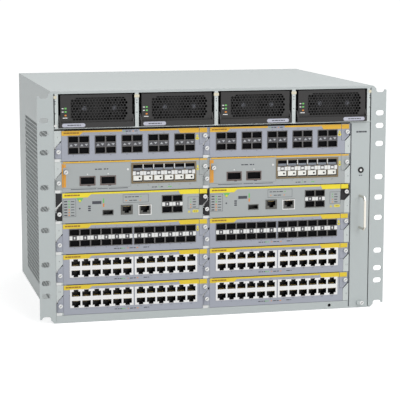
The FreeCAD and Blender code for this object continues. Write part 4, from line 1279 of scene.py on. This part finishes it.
for module in ("expansion_module_03", "expansion_module_04"):
    left, low = corner["card_" + module[-2:]]
    fields = [[left + 1.9, left + 5.4, low + z0, low + z1] for z0, z1 in ((6.8, 24.0), (33.0, 37.6))]
    piece(module + "_orange_fields", [patches(fields, 0.1)], deep_orange, module)
    words = [(44.0, 29.2, [3.4, 5.0], 1.4), (56.0, 29.2, [3.0, 2.0], 1.4), (34.0, 7.4, [4.0], 1.1),
             (62.0, 7.4, [4.0], 1.1)]
    marks = np.concatenate([dashes(left + x, low + z, lengths, tall) for x, z, lengths, tall in words])
    piece(module + "_marks", [patches(marks, 0.1)], dark_print, module)
    dots = cap_parts(left + 88.4, low + 28.6, 1.5, front)
    for x in (left + 34.1, left + 61.7):
        dots += cap_parts(x, low + 23.4, 0.9, front)
    piece(module + "_small_screws", dots, white_moulding, module)
print("labels done")

# %% [markdown]
# ## Components on the boards
# When a card is drawn out its board shows.  Chips, finned coolers and small parts stand on a
# regular layout; each block is low corner + size, and places taken by a module bay are left free.

# %% Chips, coolers and small parts
chip_black = finish("chip_black", srgb(38, 38, 40), 0.5)
cooler_alloy = finish("cooler_alloy", srgb(170, 172, 175), 0.35, metal=0.8)
capacitor_tan = finish("capacitor_tan", srgb(176, 150, 104), 0.45)
BOARD_FACE = 9.33
BAY_END = (98, 140)


def stand(corners, size, height, floor):
    """Blocks of one size on the board: x0 = x, x1 = x + width, y likewise, z from the board up."""
    corners = np.asarray(corners, float)
    x, y = corners[:, 0], corners[:, 1]
    z = np.full(len(corners), floor)
    return blocks(np.stack([x, x + size[0], y, y + size[1], z, z + height], 1))


def cooler_fins(x, y, wide, deep, count, z0, z1):
    """Thin upright plates side by side: plate i starts at x + i * wide / count."""
    starts = x + np.arange(count) * wide / count
    rows = np.stack([starts, starts + 0.9, np.full(count, y), np.full(count, y + deep), np.full(count, z0),
                     np.full(count, z1)], 1)
    return blocks(rows)


for card in cards:
    left, low = corner[card]
    floor_z = low + BOARD_FACE
    big = np.array([(40, 170), (112, 170), (112, 90), (40, 90)], float)
    small = np.array([(x, y) for x in range(14, 176, 18) for y in (62, 140, 222, 246)], float)
    tiny = np.array([(x, y) for x in range(10, 180, 5) for y in (54, 132, 214, 240)], float)
    if kind_of[card] == "expansion":
        big, small, tiny = (group[(group[:, 0] > BAY_END[0]) | (group[:, 1] > BAY_END[1])]
                            for group in (big, small, tiny))
    offset = np.array([left, front])
    chips = [stand(big + offset, (34, 34), 2.4, floor_z), stand(small + offset, (9, 12), 1.4, floor_z)]
    piece(card + "_chips", chips, chip_black, card)
    fins = [cooler_fins(left + x + 2, front + y + 2, 30, 30, 10, floor_z + 2.4, floor_z + 12.0)
            for x, y in big]
    plates = stand(big + offset + 2.0, (30, 30), 1.2, floor_z + 2.3)
    piece(card + "_coolers", fins + [plates], cooler_alloy, card)
    small_parts = stand(tiny + offset, (1.8, 3.0), 1.1, floor_z)
    piece(card + "_small_parts", [small_parts], capacitor_tan, card)
print("boards filled", len(cards))
